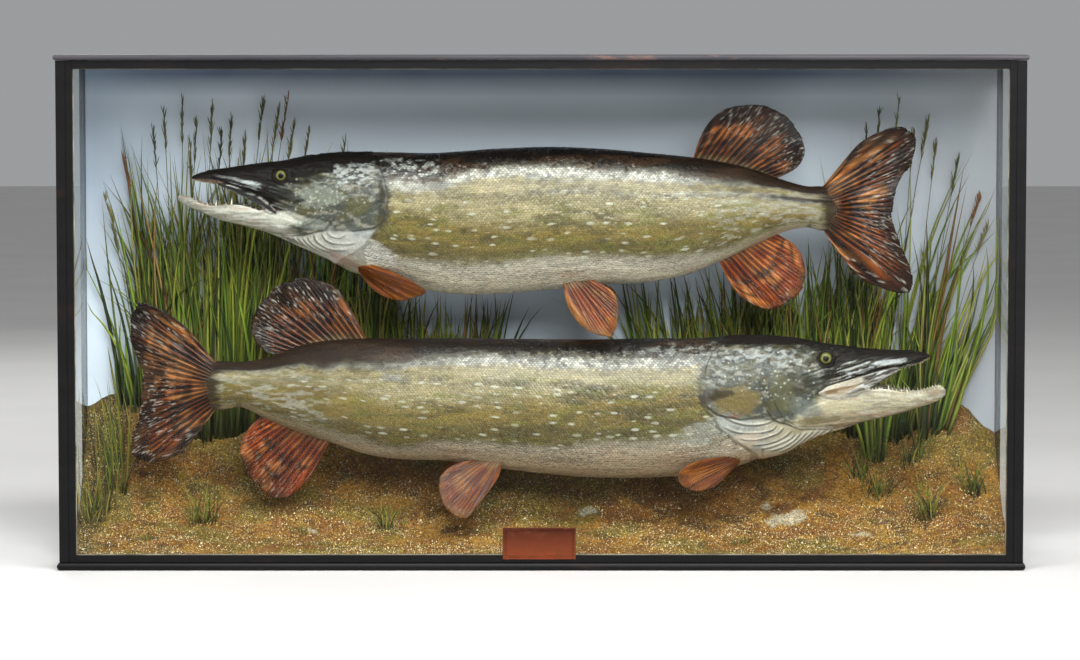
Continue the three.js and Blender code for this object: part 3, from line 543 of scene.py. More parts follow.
SMALL = {
    "name": "upper_pike",
    "at": np.array([-458.0, -10.0, 503.0]),
    "faces": -1,
    "flesh": ["upper_pike"],
    "in_full": False,
    "voxel": 1.5,
    "body": [
        [0, 0, -4, 8, 0.5], [12, 5.5, -7, 16, 0.5], [45, 10.5, -13, 22.5, 0.45], [75, 15.5, -22, 26.5, 0.42],
        [105, 19.8, -40, 31, 0.42], [120, 22, -60, 35, 0.45], [145, 26.8, -88, 41, 0.48],
        [170, 29.8, -103, 46, 0.5], [205, 32.5, -124, 51, 0.5], [262, 32, -141, 56, 0.5],
        [313, 31, -150.4, 59, 0.52], [353, 33.3, -154.3, 61, 0.53], [405, 37, -153.7, 62, 0.53],
        [471, 39, -148.5, 62, 0.53], [537, 36.5, -142, 59, 0.53], [590, 32, -139.5, 54, 0.53],
        [642, 27, -130.6, 48, 0.53], [690, 20.5, -113, 40, 0.53], [734, 10.6, -92.3, 31, 0.53],
        [774, -3.5, -74, 22, 0.52], [805, -12, -67.5, 16.5, 0.5], [826, -12.5, -71, 12, 0.5],
        [850, -17, -66, 5.5, 0.5],
    ],
    "jaw": [
        [-19, -25.5, -30.5, 7], [-12, -24.5, -36, 14], [4, -30, -43.5, 20], [17, -35, -48.5, 23.5],
        [37, -36, -56.7, 27], [63, -35, -63.3, 30], [89, -42, -70, 34], [120, -52, -76, 38],
        [145, -60, -75, 41],
    ],
    "throat": [
        [80, -62, -67.5, 5], [100, -62, -74, 12], [116, -62, -80.5, 18], [142, -62, -92.3, 26],
        [168, -62, -104, 34], [194, -62, -114.7, 40],
    ],
    "eye": {"x": 118.7, "z": 2, "radius": 8.8, "out": 23},
    "maxilla": [[36, -9, 1.5], [54, -15, 3.4], [72, -23, 5], [90, -32, 5.4], [104, -41, 4.6], [112, -46, 2]],
    "maxilla_paint": ("#23211f", "#b8b4aa", 0.0),
    "gill_edge": [
        [236, 27], [246, 14], [253, 0], [257, -15], [258, -32], [255, -48], [250, -60], [238, -66],
        [214, -69], [190, -68],
    ],
    "cheek_edge": [
        [192, 6], [193, -16.5], [195, -32], [193.8, -41.5], [188, -53], [181, -63], [177, -68], [163, -71],
        [149.4, -75], [131, -76.5], [108.6, -73], [84, -66],
    ],
    "inner_edge": [
        [184, -4], [186, -20], [182, -36], [172, -50], [158, -60], [140, -66], [118, -66], [96, -62],
    ],
    "folds_under": [[90, -68], [110, -73], [131, -77], [149, -75.5], [163, -71], [177, -68], [246, -66]],
    "breast_under": [[90, -76], [134, -87], [160, -98], [190, -104], [214, -100], [246, -86]],
    "bare_edge": [
        [236, 34], [246, 14], [253, 0], [257, -15], [258, -32], [255, -48], [250, -60], [240, -72],
        [226, -88], [212, -98], [196, -106], [184, -118], [176, -135],
    ],
    "folds": [
        [[178, -70.5], [182, -76.4], [190, -79.7], [197, -79.7], [205, -75.8]],
        [[170.5, -72], [176, -81.7], [184, -86.3], [195.5, -88.3], [208.7, -88.3], [218, -86.3]],
        [[160, -73], [164, -83.7], [172, -90.2], [182, -95], [195.5, -96.2], [208.7, -95.5]],
        [[152, -78.4], [157, -86.3], [166.5, -93], [176, -96.8], [186, -99.5]],
        [[145.5, -79.7], [152, -87.6], [160, -93.5], [168, -97.5]],
        [[139, -79.7], [145.5, -87], [153, -93]],
        [[131, -79], [140, -86.3], [148, -91.6]],
        [[124.4, -77.7], [133.6, -84.3], [141.5, -89]],
        [[117.8, -75.8], [127, -82.3], [133.6, -86.3]],
    ],
    "black_above": [[0, -40], [60, -36], [93, -24], [143, -7], [175, 3], [200, 13], [320, 17]],
    # The pale grey streak on the snout is a painted highlight.
    "patches": [
        (170, -24, 34, 16, 0, "#7f8376", 0.65, 1.0), (124, -22, 26, 9, -0.3, "#181918", 0.75, 1.0),
        (126, -53, 26, 9, -0.1, "#b8b5a6", 0.8, 0.7), (162, -61, 26, 7, -0.1, "#85877f", 0.6, 0.9),
        (75, -7, 12, 2.2, -0.2, "#c9cccc", 0.9, 1.0), (22, -5, 22, 1.6, -0.1, "#7c5546", 0.7, 0.7),
    ],
    # The pale grey, most ragged patches high on the shoulder are painted highlights.
    "shoulder_patches": [
        (218, 4, 30, 13, 0, "#a9aca8", 0.65, 1.6), (219, -36, 20, 14, 0, "#45431f", 0.8, 0.8),
        (253, -22, 9, 46, 0, "#23221e", 0.7, 1.3), (285, 12, 46, 13, 0, "#a9a9a0", 0.55, 1.5),
        (226, -92, 42, 17, -0.35, "#b3aea6", 0.75, 0.9), (200, -107, 24, 6, -0.5, "#8a4a35", 0.4, 1.0),
    ],
    "belly": "#ccc0aa",
    "breast": "#dcd3c4",
    "dark_down": [(260, 0.08), (310, 0.06), (370, 0.0), (600, 0.0), (690, 0.03), (780, 0.0)],
    "pale_down": [(300, 0.0), (430, 0.12), (560, 0.12), (700, 0.1), (790, 0.2)],
    "belly_up": [(560, 0.0), (700, -0.12)],
    "dull_back": [(620, 0.0), (680, 0.6), (740, 1.0)],
    "stem_tone": 1.0,
    "gloss": 1.18,
    "jaw_tone": "#bab6a8",
    "snout_shine": 0.35,
    "fin_detail": 0.8,
    "tooth_gap": 1.9,
    "scales_from": 226,
    "tail_end": 840,
    "seed": 29,
    "fins": {
        "dorsal": {
            "root": [[656, 19], [710, 10], [758.3, -3]],
            "edge": [
                [656, 19], [662.6, 42.2], [675.7, 68.5], [698, 89], [729.5, 95], [764.9, 89],
                [793.8, 64.6], [805.6, 35.6], [795, 13.2], [765, -4],
            ],
            "corners": (3.4, 8), "rays": 17, "kind": "dark",
        },
        "anal": {
            "root": [[690, -107], [727, -89], [763.6, -73]],
            "edge": [
                [690, -107], [703.2, -135.8], [721.6, -159.5], [758.3, -176], [791, -160.8],
                [805.6, -139.7], [805.6, -116], [792.4, -91], [768, -75],
            ],
            "corners": (2.8, 7), "rays": 15, "kind": "red",
        },
        "caudal": {
            "root": [[822, -18], [846, -43.5], [824, -64]],
            "edge": [
                [822, -18], [850, 9.2], [869.9, 39.5], [900, 59.3], [932.8, 67.2], [951.2, 51.4],
                [947.3, 22.4], [930.2, -6.6], [919.7, -46], [928.9, -83], [946, -122.6], [943.3, -153],
                [909.2, -149], [876.4, -134.4], [851.5, -104], [824, -64],
            ],
            "corners": (4.4, 11), "rays": 19, "kind": "tail", "shade": 1.2, "stout": 6.5,
        },
        "pelvic": {
            "root": [[486.8, -136], [505, -134], [522.2, -132]],
            "edge": [
                [486.8, -136], [490.7, -162], [502.5, -185.8], [524.8, -203.6], [549.7, -207],
                [560.2, -182], [553.7, -151.6], [522.2, -132],
            ],
            "corners": (3, 6), "rays": 10, "kind": "edged", "spread": 0.3,
        },
        "pectoral": {
            "root": [[210, -112], [214, -119], [220.4, -126.5]],
            "edge": [
                [210, -112], [236.2, -113.3], [272.9, -126], [309.6, -147.6], [290, -157.5],
                [269, -160.8], [240, -149], [220.4, -126.5],
            ],
            "corners": (3, 5), "rays": 12, "kind": "plain", "spread": 0.34,
        },
    },
}

# A cross-section is a superellipse: its power at the snout's tip, on the trunk, and the x between.
SQUARE_SNOUT, SQUARE_TRUNK, SQUARE_UNTIL = 3.0, 2.15, 260.0
SQUARE_JAW = 2.6
COAT_DEPTH = 0.7  # how far the skin of the trunk lies inside the solids, under the scales
SEAM = 296.0  # where the ring-built trunk takes over from the remeshed head


def value_at(pike, name, x):
    """A value of the pike's at many x, straight between the points of one of its lists."""
    return np.interp(x, *np.array(pike[name])[:, :2].T)


def to_world(pike, points):
    """Points of a pike's own frame, in millimetres, as points of the model's frame."""
    points = np.asarray(points, float)
    turned = points * [-1, -1, 1] if pike["faces"] > 0 else points
    return (turned + pike["at"]) * MM


def squareness(x):
    """Power of the superellipse at x."""
    return SQUARE_SNOUT + (SQUARE_TRUNK - SQUARE_SNOUT) * np.clip(x / SQUARE_UNTIL, 0, 1)


def maxilla_at(pike, x):
    """Height of the middle of the upper jaw's bone at many x, and half its depth."""
    rows = np.asarray(pike["maxilla"], float)
    return np.interp(x, rows[:, 0], rows[:, 1]), np.interp(x, rows[:, 0], rows[:, 2])


def signed_power(value, power):
    return np.sign(value) * np.abs(value) ** power


def body_point(pike, x, angle, inset=0.0):
    """Points on the body at x and at an angle round it, 0 at the near flank and up from there."""
    x, angle = (np.ravel(a) for a in np.broadcast_arrays(x, angle))
    _, back, under, half, wide = row_at(pike["body"], x).T
    power = 2 / squareness(x)
    middle = under + (back - under) * wide
    rise = np.where(np.sin(angle) > 0, back - middle, middle - under) - inset
    across = (half - inset) * signed_power(np.cos(angle), power)
    return np.stack([x, across, middle + rise * signed_power(np.sin(angle), power)], axis=1)


def flank_at(pike, x, z):
    """How far out from the middle plane the flank is."""
    _, back, under, half, wide = row_at(pike["body"], x).T
    power = squareness(np.asarray(x, float))
    middle = under + (back - under) * wide
    share = np.abs(z - middle) / np.where(z > middle, back - middle, middle - under)
    return half * np.maximum(0, 1 - share**power) ** (1 / power)


class Girth:
    """Even spacing round a pike's body: turns a share of the way round into an angle."""

    STEPS = 240
    SPACING = 8.0  # between the cross-sections that are measured, in millimetres

    def __init__(self, pike):
        self.pike = pike
        self.x = np.arange(0.0, pike["body"][-1][0] + 1, self.SPACING)
        self.angles = -np.pi / 2 + np.linspace(0, 2 * np.pi, self.STEPS + 1)
        self.shares, self.lengths = [], []
        for x in self.x:
            ring = body_point(pike, x, self.angles)
            run = np.concatenate([[0], np.cumsum(np.linalg.norm(np.diff(ring, axis=0), axis=1))])
            self.shares.append(run / run[-1])
            self.lengths.append(run[-1])

    def length(self, x):
        """Length round the body at many x."""
        return np.interp(x, self.x, self.lengths)

    def point(self, x, share, inset=0.0):
        """Points on the body at x and a share round it, from the belly up the near flank."""
        x, share = (np.ravel(np.asarray(a, float)) for a in np.broadcast_arrays(x, share))
        share = share % 1
        place = np.clip(x / self.SPACING, 0, len(self.x) - 1.001)
        low = place.astype(int)
        angle = np.zeros(len(x))
        for step, weight in ((0, 1 - (place - low)), (1, place - low)):
            for i in np.unique(low + step):
                here = (low + step) == i
                angle[here] += weight[here] * np.interp(share[here], self.shares[i], self.angles)
        return body_point(self.pike, x, angle, inset)


# ---------------------------------------------------------------- skin


def rows_along(rows, count):
    """Rows at evenly spaced x, from the first row's to the last row's."""
    x = np.linspace(rows[0][0], rows[-1][0], count)
    return np.column_stack([x, row_at(rows, x)[:, 1:]])


def jaw_rings(pike, count=46, outer_sides=44, inner_sides=40):
    """The lower jaw: a trough whose floor lies between its two lips, and rises at both ends."""
    rings = []
    for place, (x, lip, keel, half) in zip(np.linspace(0, 1, count), rows_along(pike["jaw"], count)):
        depth = lip - keel
        under = math.pi + np.linspace(0, 1, outer_sides) * math.pi
        outer = np.stack([
            np.full(outer_sides, x),
            half * signed_power(np.cos(under), 2 / SQUARE_JAW),
            lip + depth * signed_power(np.sin(under), 2 / SQUARE_JAW),
        ], axis=1)
        over = (np.arange(inner_sides) + 0.5) / inner_sides * math.pi
        hollow = 0.66 * min(1, 7 * min(place, 1 - place)) * depth
        inner = np.stack([
            np.full(inner_sides, x),
            half * 0.86 * np.cos(over),
            lip - hollow * np.sin(over) ** 0.7,
        ], axis=1)
        rings.append(np.vstack([outer, inner]))
    return np.array(rings)


def throat_rings(pike, count=20, sides=40):
    """Oval cross-sections of the throat, under the head and behind the jaw."""
    angle = round_angles(sides)
    rings = []
    for x, top, under, half in rows_along(pike["throat"], count):
        middle, rise = (top + under) / 2, (top - under) / 2
        ring = [np.full(sides, x), half * np.cos(angle), middle + rise * np.sin(angle)]
        rings.append(np.stack(ring, axis=1))
    return np.array(rings)


def plate_rings(centres, heights, thickness, sides=20):
    """A flattened, tapering bar along a line of centres."""
    angle = round_angles(sides)
    rings = [
        centre + np.outer(np.cos(angle), [0, thick, 0]) + np.outer(np.sin(angle), [0, 0, height])
        for centre, height, thick in zip(centres, heights, thickness)
    ]
    return np.array(rings)


def maxilla_shapes(pike, count=40, sides=20):
    """The leaf-shaped bone along each side of the upper jaw, which laps over the lower lip behind."""
    rows = np.asarray(pike["maxilla"], float)
    x = np.linspace(rows[0, 0], rows[-1, 0], count)
    _, z, height = row_at(rows, x).T
    _, lip, _, jaw_half = row_at(pike["jaw"], x).T
    half = row_at(pike["body"], x)[:, 3]
    top = np.maximum(flank_at(pike, x, z + height), half * 0.8)
    over_lip = smooth(3, -5, z - height - lip)
    bottom = half * 0.94 + (np.maximum(jaw_half, half) + 1.6 - half * 0.94) * over_lip
    angle = round_angles(sides)
    rise, out = np.sin(angle), 2.8 * np.cos(angle)
    for side in (-1, 1):
        across = side * ((top + bottom) / 2 + 0.4)[:, None] + side * ((top - bottom) / 2)[:, None] * rise
        rings = np.stack([
            np.repeat(x[:, None], sides, axis=1), across + out, z[:, None] + height[:, None] * rise,
        ], axis=-1)
        yield loft(rings)


def corner_shapes(pike):
    """The skin that closes each corner of the mouth, behind and under the end of that bone."""
    rear_x, rear_z, _ = pike["maxilla"][-1]
    x = np.linspace(rear_x - 26, rear_x + 26, 16)
    fullness = np.sqrt(np.clip(1 - ((x - rear_x) / 28) ** 2, 0.02, 1))
    jaw_half = row_at(pike["jaw"], x)[:, 3]
    half = row_at(pike["body"], x)[:, 3]
    middle = rear_z - 9 - 0.25 * (x - rear_x)
    for side in (-1, 1):
        centres = np.stack([x, side * ((half + jaw_half) / 2 - 4.2), middle], axis=1)
        yield loft(plate_rings(centres, 12 * fullness, np.full(len(x), 3.6)))


def tongue_shape(pike):
    """The tongue: a flat bar low between the sides of the jaw."""
    x = np.linspace(22, 104, 24)
    _, lip, keel, half = row_at(pike["jaw"], x).T
    share = np.linspace(0, 1, len(x))
    centres = np.stack([x, np.zeros(len(x)), lip - 0.30 * (lip - keel)], axis=1)
    width = half * 0.36 * np.sqrt(np.clip(1 - (2 * share - 1) ** 4, 0.04, 1))
    return loft(plate_rings(centres, np.full(len(x), 4.5), width))


def remeshed(points, faces, voxel):
    """One closed skin over several overlapping closed shapes, with its points in millimetres."""
    mesh = new_mesh("rough", points, faces)
    rough = bpy.data.objects.new("rough", mesh)
    bpy.context.scene.collection.objects.link(rough)
    change = rough.modifiers.new("Remesh", "REMESH")
    change.mode = "VOXEL"
    change.voxel_size = voxel
    bpy.context.view_layer.update()
    made = bpy.data.meshes.new_from_object(rough.evaluated_get(bpy.context.evaluated_depsgraph_get()))
    bpy.data.objects.remove(rough)
    bpy.data.meshes.remove(mesh)
    return made


def smoothed(points, edges, times):
    """Points moved half way to the mean of their neighbours, several times over."""
    count = np.bincount(edges.ravel(), minlength=len(points))[:, None]
    for _ in range(times):
        total = np.zeros_like(points)
        np.add.at(total, edges[:, 0], points[edges[:, 1]])
        np.add.at(total, edges[:, 1], points[edges[:, 0]])
        points = points + 0.5 * (total / np.maximum(count, 1) - points)
    return points


def edges_of(mesh):
    """The two points of each edge."""
    edges = np.empty(len(mesh.edges) * 2, np.int32)
    mesh.edges.foreach_get("vertices", edges)
    return edges.reshape(-1, 2)


def head_mesh(pike, sides=120):
    """Head, jaws and throat in one skin, open where the trunk starts."""
    x = np.concatenate([np.linspace(0, 30, 12), np.arange(34, SEAM + 24, 4)])
    angle = round_angles(sides)
    body = body_point(pike, x[:, None], angle[None, :]).reshape(len(x), sides, 3)
    shapes = [loft(body), loft(throat_rings(pike)), loft(jaw_rings(pike)), tongue_shape(pike)]
    shapes += [*maxilla_shapes(pike), *corner_shapes(pike)]
    mesh = remeshed(*joined(shapes), pike["voxel"])
    points = smoothed(points_of(mesh), edges_of(mesh), 3)
    mesh.vertices.foreach_set("co", points.ravel())
    work = bmesh.new()
    work.from_mesh(mesh)
    every = work.verts[:] + work.edges[:] + work.faces[:]
    bmesh.ops.bisect_plane(work, geom=every, plane_co=(SEAM, 0, 0), plane_no=(1, 0, 0), clear_outer=True)
    return work


def add_trunk(work, girth, step=5.0, sides=104):
    """Bridges rings of the trunk to the open end of the head and closes the end of the tail."""
    pike = girth.pike
    end = pike["body"][-1][0]
    places = np.concatenate([np.arange(SEAM + 2.5, end - 14, step), np.linspace(end - 12, end, 7)])
    inset = COAT_DEPTH * smooth(SEAM, SEAM + 12, places)
    rings = girth.point(places[:, None], np.arange(sides)[None, :] / sides, np.repeat(inset, sides))
    rim = [edge for edge in work.edges if edge.is_boundary]
    made = [work.verts.new(point) for point in rings]
    for quad in grid_faces(len(places), sides, closed=True):
        work.faces.new([made[i] for i in quad])
    work.faces.new(made[-sides:])
    work.edges.index_update()
    first = [edge for edge in work.edges if edge.is_boundary and edge.verts[0].co.x > SEAM + 1]
    bmesh.ops.bridge_loops(work, edges=rim + first)
    bmesh.ops.recalc_face_normals(work, faces=work.faces[:])


# The flaps of the gill cover: rise and reach of each one's rim, and drop and width of the groove
# behind it, in millimetres.
FLAPS = {
    "gill_edge": (1.5, 6.0, 1.3, 2.4),
    "cheek_edge": (1.4, 4.5, 1.0, 1.5),
    "inner_edge": (1.2, 3.5, 1.0, 1.5),
}


def edge_step(flat, line, rise, reach, drop, width):
    """A flap that ends at a line: raised on the snout's side of it, with a groove behind."""
    away, share = distance_to(flat, line)
    ahead = in_front(flat, line)
    faded = smooth(0, 0.22, share) * smooth(1, 0.9, share)
    return faded * (rise * ahead * bell(away, reach) - drop * (1 - ahead) * bell(away, width))


def fold_lines(pike, flat):
    """The gill membrane's folds: how near each point is to the groove, or the crest, of one."""
    groove, crest = np.zeros(len(flat)), np.zeros(len(flat))
    for line in pike["folds"]:
        away, share = distance_to(flat, line_through(line, 24)[0])
        faded = smooth(0, 0.12, share) * smooth(1, 0.86, share)
        above = 1 - in_front(flat, line)
        groove = np.maximum(groove, faded * bell(away, 1.15))
        crest = np.maximum(crest, faded * above * bell(away - 2.5, 1.5))
    return groove, crest


def slanted(points):
    """Points sheared so that streaks along the snout follow the slope of its lower edge."""
    x, y, z = points.T
    return np.stack([x, y * 0.5, z + 0.3 * x], axis=1)


def bony_streaks(points):
    """Ridges of the snout's bones, from 0 in the grooves to 1 on the crests."""
    return rough_noise(slanted(points), (24, 7, 2.5), 5, 4)


SOCKET = 0.86  # radius of the eye's socket over that of the eye
NOSTRILS = ((24, 17), (31, 16))  # each opening's distance ahead of the eye and from the middle


def eye_relief(eye, x, z, from_socket):
    """The sunken socket, the rim and the fold round it and the brow over it."""
    sunk = smooth(0.8, -1.2, from_socket)
    brow = bell(z - eye["z"] - 9.5, 3.2) * bell(x - eye["x"] + 2, 24)
    return 1.3 * bell(from_socket - 2.2, 1.7) - 5.5 * sunk - bell(from_socket - 5.5, 1.6) + 2.2 * brow


def snout_relief(pike, x, y, snout):
    """Two ridges along the top of the snout with a hollow between them, and the nostrils."""
    out = np.abs(y)
    ridge = 0.5 * row_at(pike["body"], x)[:, 3]
    ridges = 1.5 * bell(out - ridge, 4.0) - 1.2 * bell(y, ridge * 0.6)
    ahead = pike["eye"]["x"] - x
    nostril = np.minimum(*(np.hypot(ahead - far, (out - wide) * 1.5) for far, wide in NOSTRILS))
    return snout * ridges - 2.2 * bell(nostril, 2.0)


def maxilla_relief(pike, x, flat):
    """The groove round the upper jaw's bone, and the dip along the rear half of it."""
    away, share = distance_to(flat, np.asarray(pike["maxilla"], float)[:, :2])
    _, half_plate = maxilla_at(pike, x)
    groove = bell(away - half_plate - 0.8, 1.3)
    dip = bell(away, half_plate * 0.35) * smooth(0.35, 0.55, share) * smooth(1, 0.9, share)
    return smooth(0.1, 0.3, share) * (-1.2 * groove - 1.1 * dip)


def head_relief(pike, points, normals):
    """How far each point of the head stands out, for its bones, folds and eye sockets."""
    x, y, z = points.T
    flat = points[:, [0, 2]]
    eye, rear_x = pike["eye"], pike["maxilla"][-1][0]
    from_socket = np.hypot(x - eye["x"], (z - eye["z"]) * 1.08) - eye["radius"] * SOCKET
    snout = smooth(eye["x"] + 46, eye["x"] - 6, x)
    above_plate = z > maxilla_at(pike, x)[0]

    side = eye_relief(eye, x, z, from_socket) + maxilla_relief(pike, x, flat)
    side += sum(edge_step(flat, pike[name], *size) for name, size in FLAPS.items())
    side -= 0.9 * bell(pore_field(pike, flat), 1.3)
    bones = snout * smooth(8, 30, x) * above_plate * smooth(0, 6, from_socket)
    side += 5.0 * (bony_streaks(points) - 0.5) * bones
    on_jaw = smooth(rear_x + 20, rear_x - 20, x) * (1 - above_plate)
    side += 1.3 * wavering(points, (18, 9, 2.6), 11) * on_jaw

    outward = smooth(0.15, 0.5, normals[:, 1] * np.sign(y))
    sideways = smooth(0.1, 0.35, np.abs(normals[:, 1]))
    upward = smooth(0.35, 0.8, normals[:, 2]) * (x > 20)
    groove, crest = fold_lines(pike, flat)
    height = outward * side + sideways * (1.2 * crest - 1.6 * groove)
    height += upward * snout_relief(pike, x, y, snout)
    wrinkled = 0.8 + 2.0 * smooth(-30, 5, z) * smooth(eye["x"] - 10, eye["x"] + 30, x)
    height += wavering(points, (6, 6, 4), 9) * wrinkled * smooth(0, 0.4, outward + upward)
    inside = (x < pike["jaw"][-3][0]) & (outward < 0.3) & (normals[:, 2] * np.sign(z + 30) < 0.2)
    height[inside] *= 0.3
    return height * smooth(SEAM + 8, SEAM - 6, x)


def pore_field(pike, flat):
    """Distance to the nearest of the sensory pores along the jaw and round the eye."""
    jaw = np.asarray(pike["jaw"], float)
    eye = pike["eye"]
    pores = [(x, row_at(jaw, [x])[0, 2] + 7 + 2 * math.sin(x)) for x in (6, 24, 44, 68, 94)]
    for angle in (-2.6, -2.0, -1.4, -0.8, -0.2, 0.3):
        pores.append((eye["x"] + 15 * math.cos(angle), eye["z"] + 15 * math.sin(angle)))
    best = np.full(len(flat), np.inf)
    for pore in pores:
        best = np.minimum(best, np.linalg.norm(flat - pore, axis=1))
    return best


# ---------------------------------------------------------------- markings

# Colours of the fish.
BACK = linear("#18130f")
BACK_BROWN = linear("#3b2a1c")
PALE_FLANK = linear("#9f9169")
SILVER_AND_SHEEN = linear("#aaa698")
GOLD = linear("#786529")
OLIVE = linear("#574b1a")
LOW_GREY = linear("#858072")
BELLY = linear("#a08a6b")
DUSK = linear("#45402f")
SPOT = linear("#bab8a4")
CHEEK = linear("#3c3e35")
CHEEK_OLIVE = linear("#474120")
SNOUT_GLINT = linear("#c4c8c0")
CREAM = linear("#c9b99b")
PINK = linear("#b08468")
MOUTH = linear("#8a5a48")
FOLD_SHADE = linear("#57534c")
FOLD_CREST_LIGHT = linear("#cbc6b9")
MEMBRANE = linear("#858987")
MOSS_GREEN = linear("#62611f")
BLUSH = linear("#a98468")
JAW_LIGHT = linear("#d9d6cc")
MAXILLA_GLINT = linear("#c9c8c2")
BONE_RIM = linear("#b8b4aa")
DOT_COUNT = 70  # white dots on one side of a head
SPOT_CELL = (25.0, 8.5)  # spacing of the pale spots along the body and up its side, in millimetres
SPOT_SHIFT = (53.0, 11.0)  # gives the near and the far side their own spots
SIDE_DEPTH = 175.0  # depth of the side that the spots are laid out on
STREAKED = 1.1  # patches more ragged than this break up into streaks; the pale ones are painted highlights

# Where the pale jaw begins, from the end of the upper jaw's bone: x back of it and z above it.
JAW_LINE = [(-30, 0, 34, 60), (40, -5, -34, -52)]
# Colours up the side of the trunk, by height from the underside as a share of the whole; the silver band
# under the dark back is silver paint with a painted sheen over it.
FLANK_HEIGHTS = [0, 0.10, 0.15, 0.20, 0.26, 0.42, 0.52, 0.64, 0.72, 0.79, 0.82, 0.85, 0.885, 0.92]
FLANK_TONES = np.array([
    BELLY, BELLY, LOW_GREY, LOW_GREY * 0.9, OLIVE, GOLD * 0.9, GOLD, PALE_FLANK * 0.85, PALE_FLANK * 0.85,
    PALE_FLANK * 0.75, SILVER_AND_SHEEN * 0.9, SILVER_AND_SHEEN * 0.9, DUSK, BACK,
])


def trunk_colour(pike, points):
    """Colour of the trunk, and how high up the side each point is."""
    x, _, z = points.T
    _, back, under, _, _ = row_at(pike["body"], x).T
    height = np.clip((z - under) / (back - under), 0, 1)
    level = height + wavering(points, (70, 50, 30), 1) * 0.08
    level += wavering(points, (8, 9, 5), 3) * 0.05
    level += value_at(pike, "dark_down", x) * smooth(0.60, 0.72, height)
    middle = smooth(0.30, 0.42, height) * smooth(0.76, 0.66, height)
    level += value_at(pike, "pale_down", x) * middle
    level -= value_at(pike, "belly_up", x) * smooth(0.40, 0.30, height)

    start, end = pike["scales_from"], pike["tail_end"]
    flank = smooth(0.18, 0.28, level) * smooth(0.80, 0.70, level)
    faded = smooth(1.1, 0.4, (x - start) / (end - start))
    # Dark flecks over the silver band and the back, which break up its painted sheen.
    dark_flecks = patchy(points, (9, 8, 4), 9, 0.44, 0.62, 4) * smooth(0.74, 0.80, level)
    dull = smooth(0.78, 0.85, level) * value_at(pike, "dull_back", x)
    brown = patchy(points, (60, 50, 12), 4, 0.48, 0.64) * smooth(0.84, 0.90, level)
    # Painted shade along the underside of the tail stem.
    shade_under_stem = smooth(0.24, 0.06, height) * smooth(end - 190, end - 100, x)
    blush = patchy(points, (40, 50, 16), 8, 0.54, 0.70) * smooth(0.24, 0.12, level)
    colour = np.stack([np.interp(level, FLANK_HEIGHTS, tones) for tones in FLANK_TONES.T], axis=1)
    colour = layered(colour, [
        (linear(pike["belly"]), smooth(0.30, 0.12, level) * 0.85),
        (OLIVE * 0.75, flank * patchy(points, (38, 60, 9), 2, 0.50, 0.64, 4) * 0.75 * faded),
        (MOSS_GREEN, flank * patchy(points, (26, 40, 7), 7, 0.52, 0.64) * 0.5),
        (BACK * 1.5, dark_flecks * smooth(0.98, 0.90, level) * 0.45),
        (BACK_BROWN * 0.55, dull),
        (BACK_BROWN, brown * 0.8),
        (OLIVE * 2.4, shade_under_stem * 0.4),
        (BLUSH, blush * 0.4),
    ])
    stripe = wavering(points, (22, 30, 3.4), 6, 2)
    colour = colour * (1 + 0.6 * stripe * smooth(0.05, 0.2, height))[:, None]
    on_trunk = smooth(end - 120, end - 190, x)
    colour = colour * (pike["stem_tone"] + (1 - pike["stem_tone"]) * on_trunk)[:, None]
    dapple = patchy(points, (12, 12, 3.5), 14, 0.46, 0.60) * smooth(0.85, 0.75, level)
    # Dark brown at the tail's root: partly the dark root of the fin, partly painted shade where its rays
    # start under the flesh.
    root = smooth(end - 20, end - 4, x + 26 * wavering(points, (30, 30, 4), 12))
    colour = layered(colour, [
        (SILVER_AND_SHEEN, dapple * 0.5 * (1 - on_trunk) * smooth(0.10, 0.25, height)),
        (BACK_BROWN * 0.6, root * 0.9),
    ])
    return colour, height


def painted(flat, colour, patches, seed):
    """Patches of colour with ragged edges; the most ragged break up into streaks on a dark ground, and the
    pale ones among these are painted highlights.
    """
    for index, (x, z, long, deep, slope, tone, share, ragged) in enumerate(patches):
        across = (flat[:, 1] - z - slope * (flat[:, 0] - x)) / deep
        away = np.hypot((flat[:, 0] - x) / long, across)
        torn = wavering(flat, (min(9, long * 0.6), min(4, deep * 0.8)), seed + index, 4)
        mask = share * smooth(1.12, 0.72, away + ragged * torn)
        if ragged > STREAKED:
            lit = patchy(flat, (7, 3.2), seed + 30 + index, 0.47, 0.57, 4)
            colour = blend(colour, BACK * 2, mask * (1 - lit) * 0.7)
            mask = mask * lit
        colour = blend(colour, linear(tone), mask)
    return colour


def mouth_colour(pike, points, normals, colour):
    """The pale palate and floor of the mouth, browner towards the throat."""
    x, y, z = points.T
    _, _, under, half, _ = row_at(pike["body"], x).T
    lip = value_at(pike, "jaw", x)
    rear = pike["maxilla"][-1][0]
    between = (x < rear + 4) & (np.abs(y) < half * 0.98) & (z < under + 7) & (z > lip - 30)
    facing = np.abs(normals[:, 1]) < 0.6
    roof = between & facing & (normals[:, 2] < -0.25) & (z > lip + 2)
    floor = between & facing & (normals[:, 2] > 0.1) & (z < lip + 6)
    deep = smooth(10, rear - 20, x)
    inner = blend(np.tile(CREAM * 0.75, (len(x), 1)), MOUTH * 0.6, 0.2 + 0.75 * deep)
    tongue = floor & (np.abs(y) < half * 0.38) & (x > 20)
    inner = np.where(tongue[:, None], MOUTH * 0.8, inner)
    return np.where((roof | floor)[:, None], inner, colour)


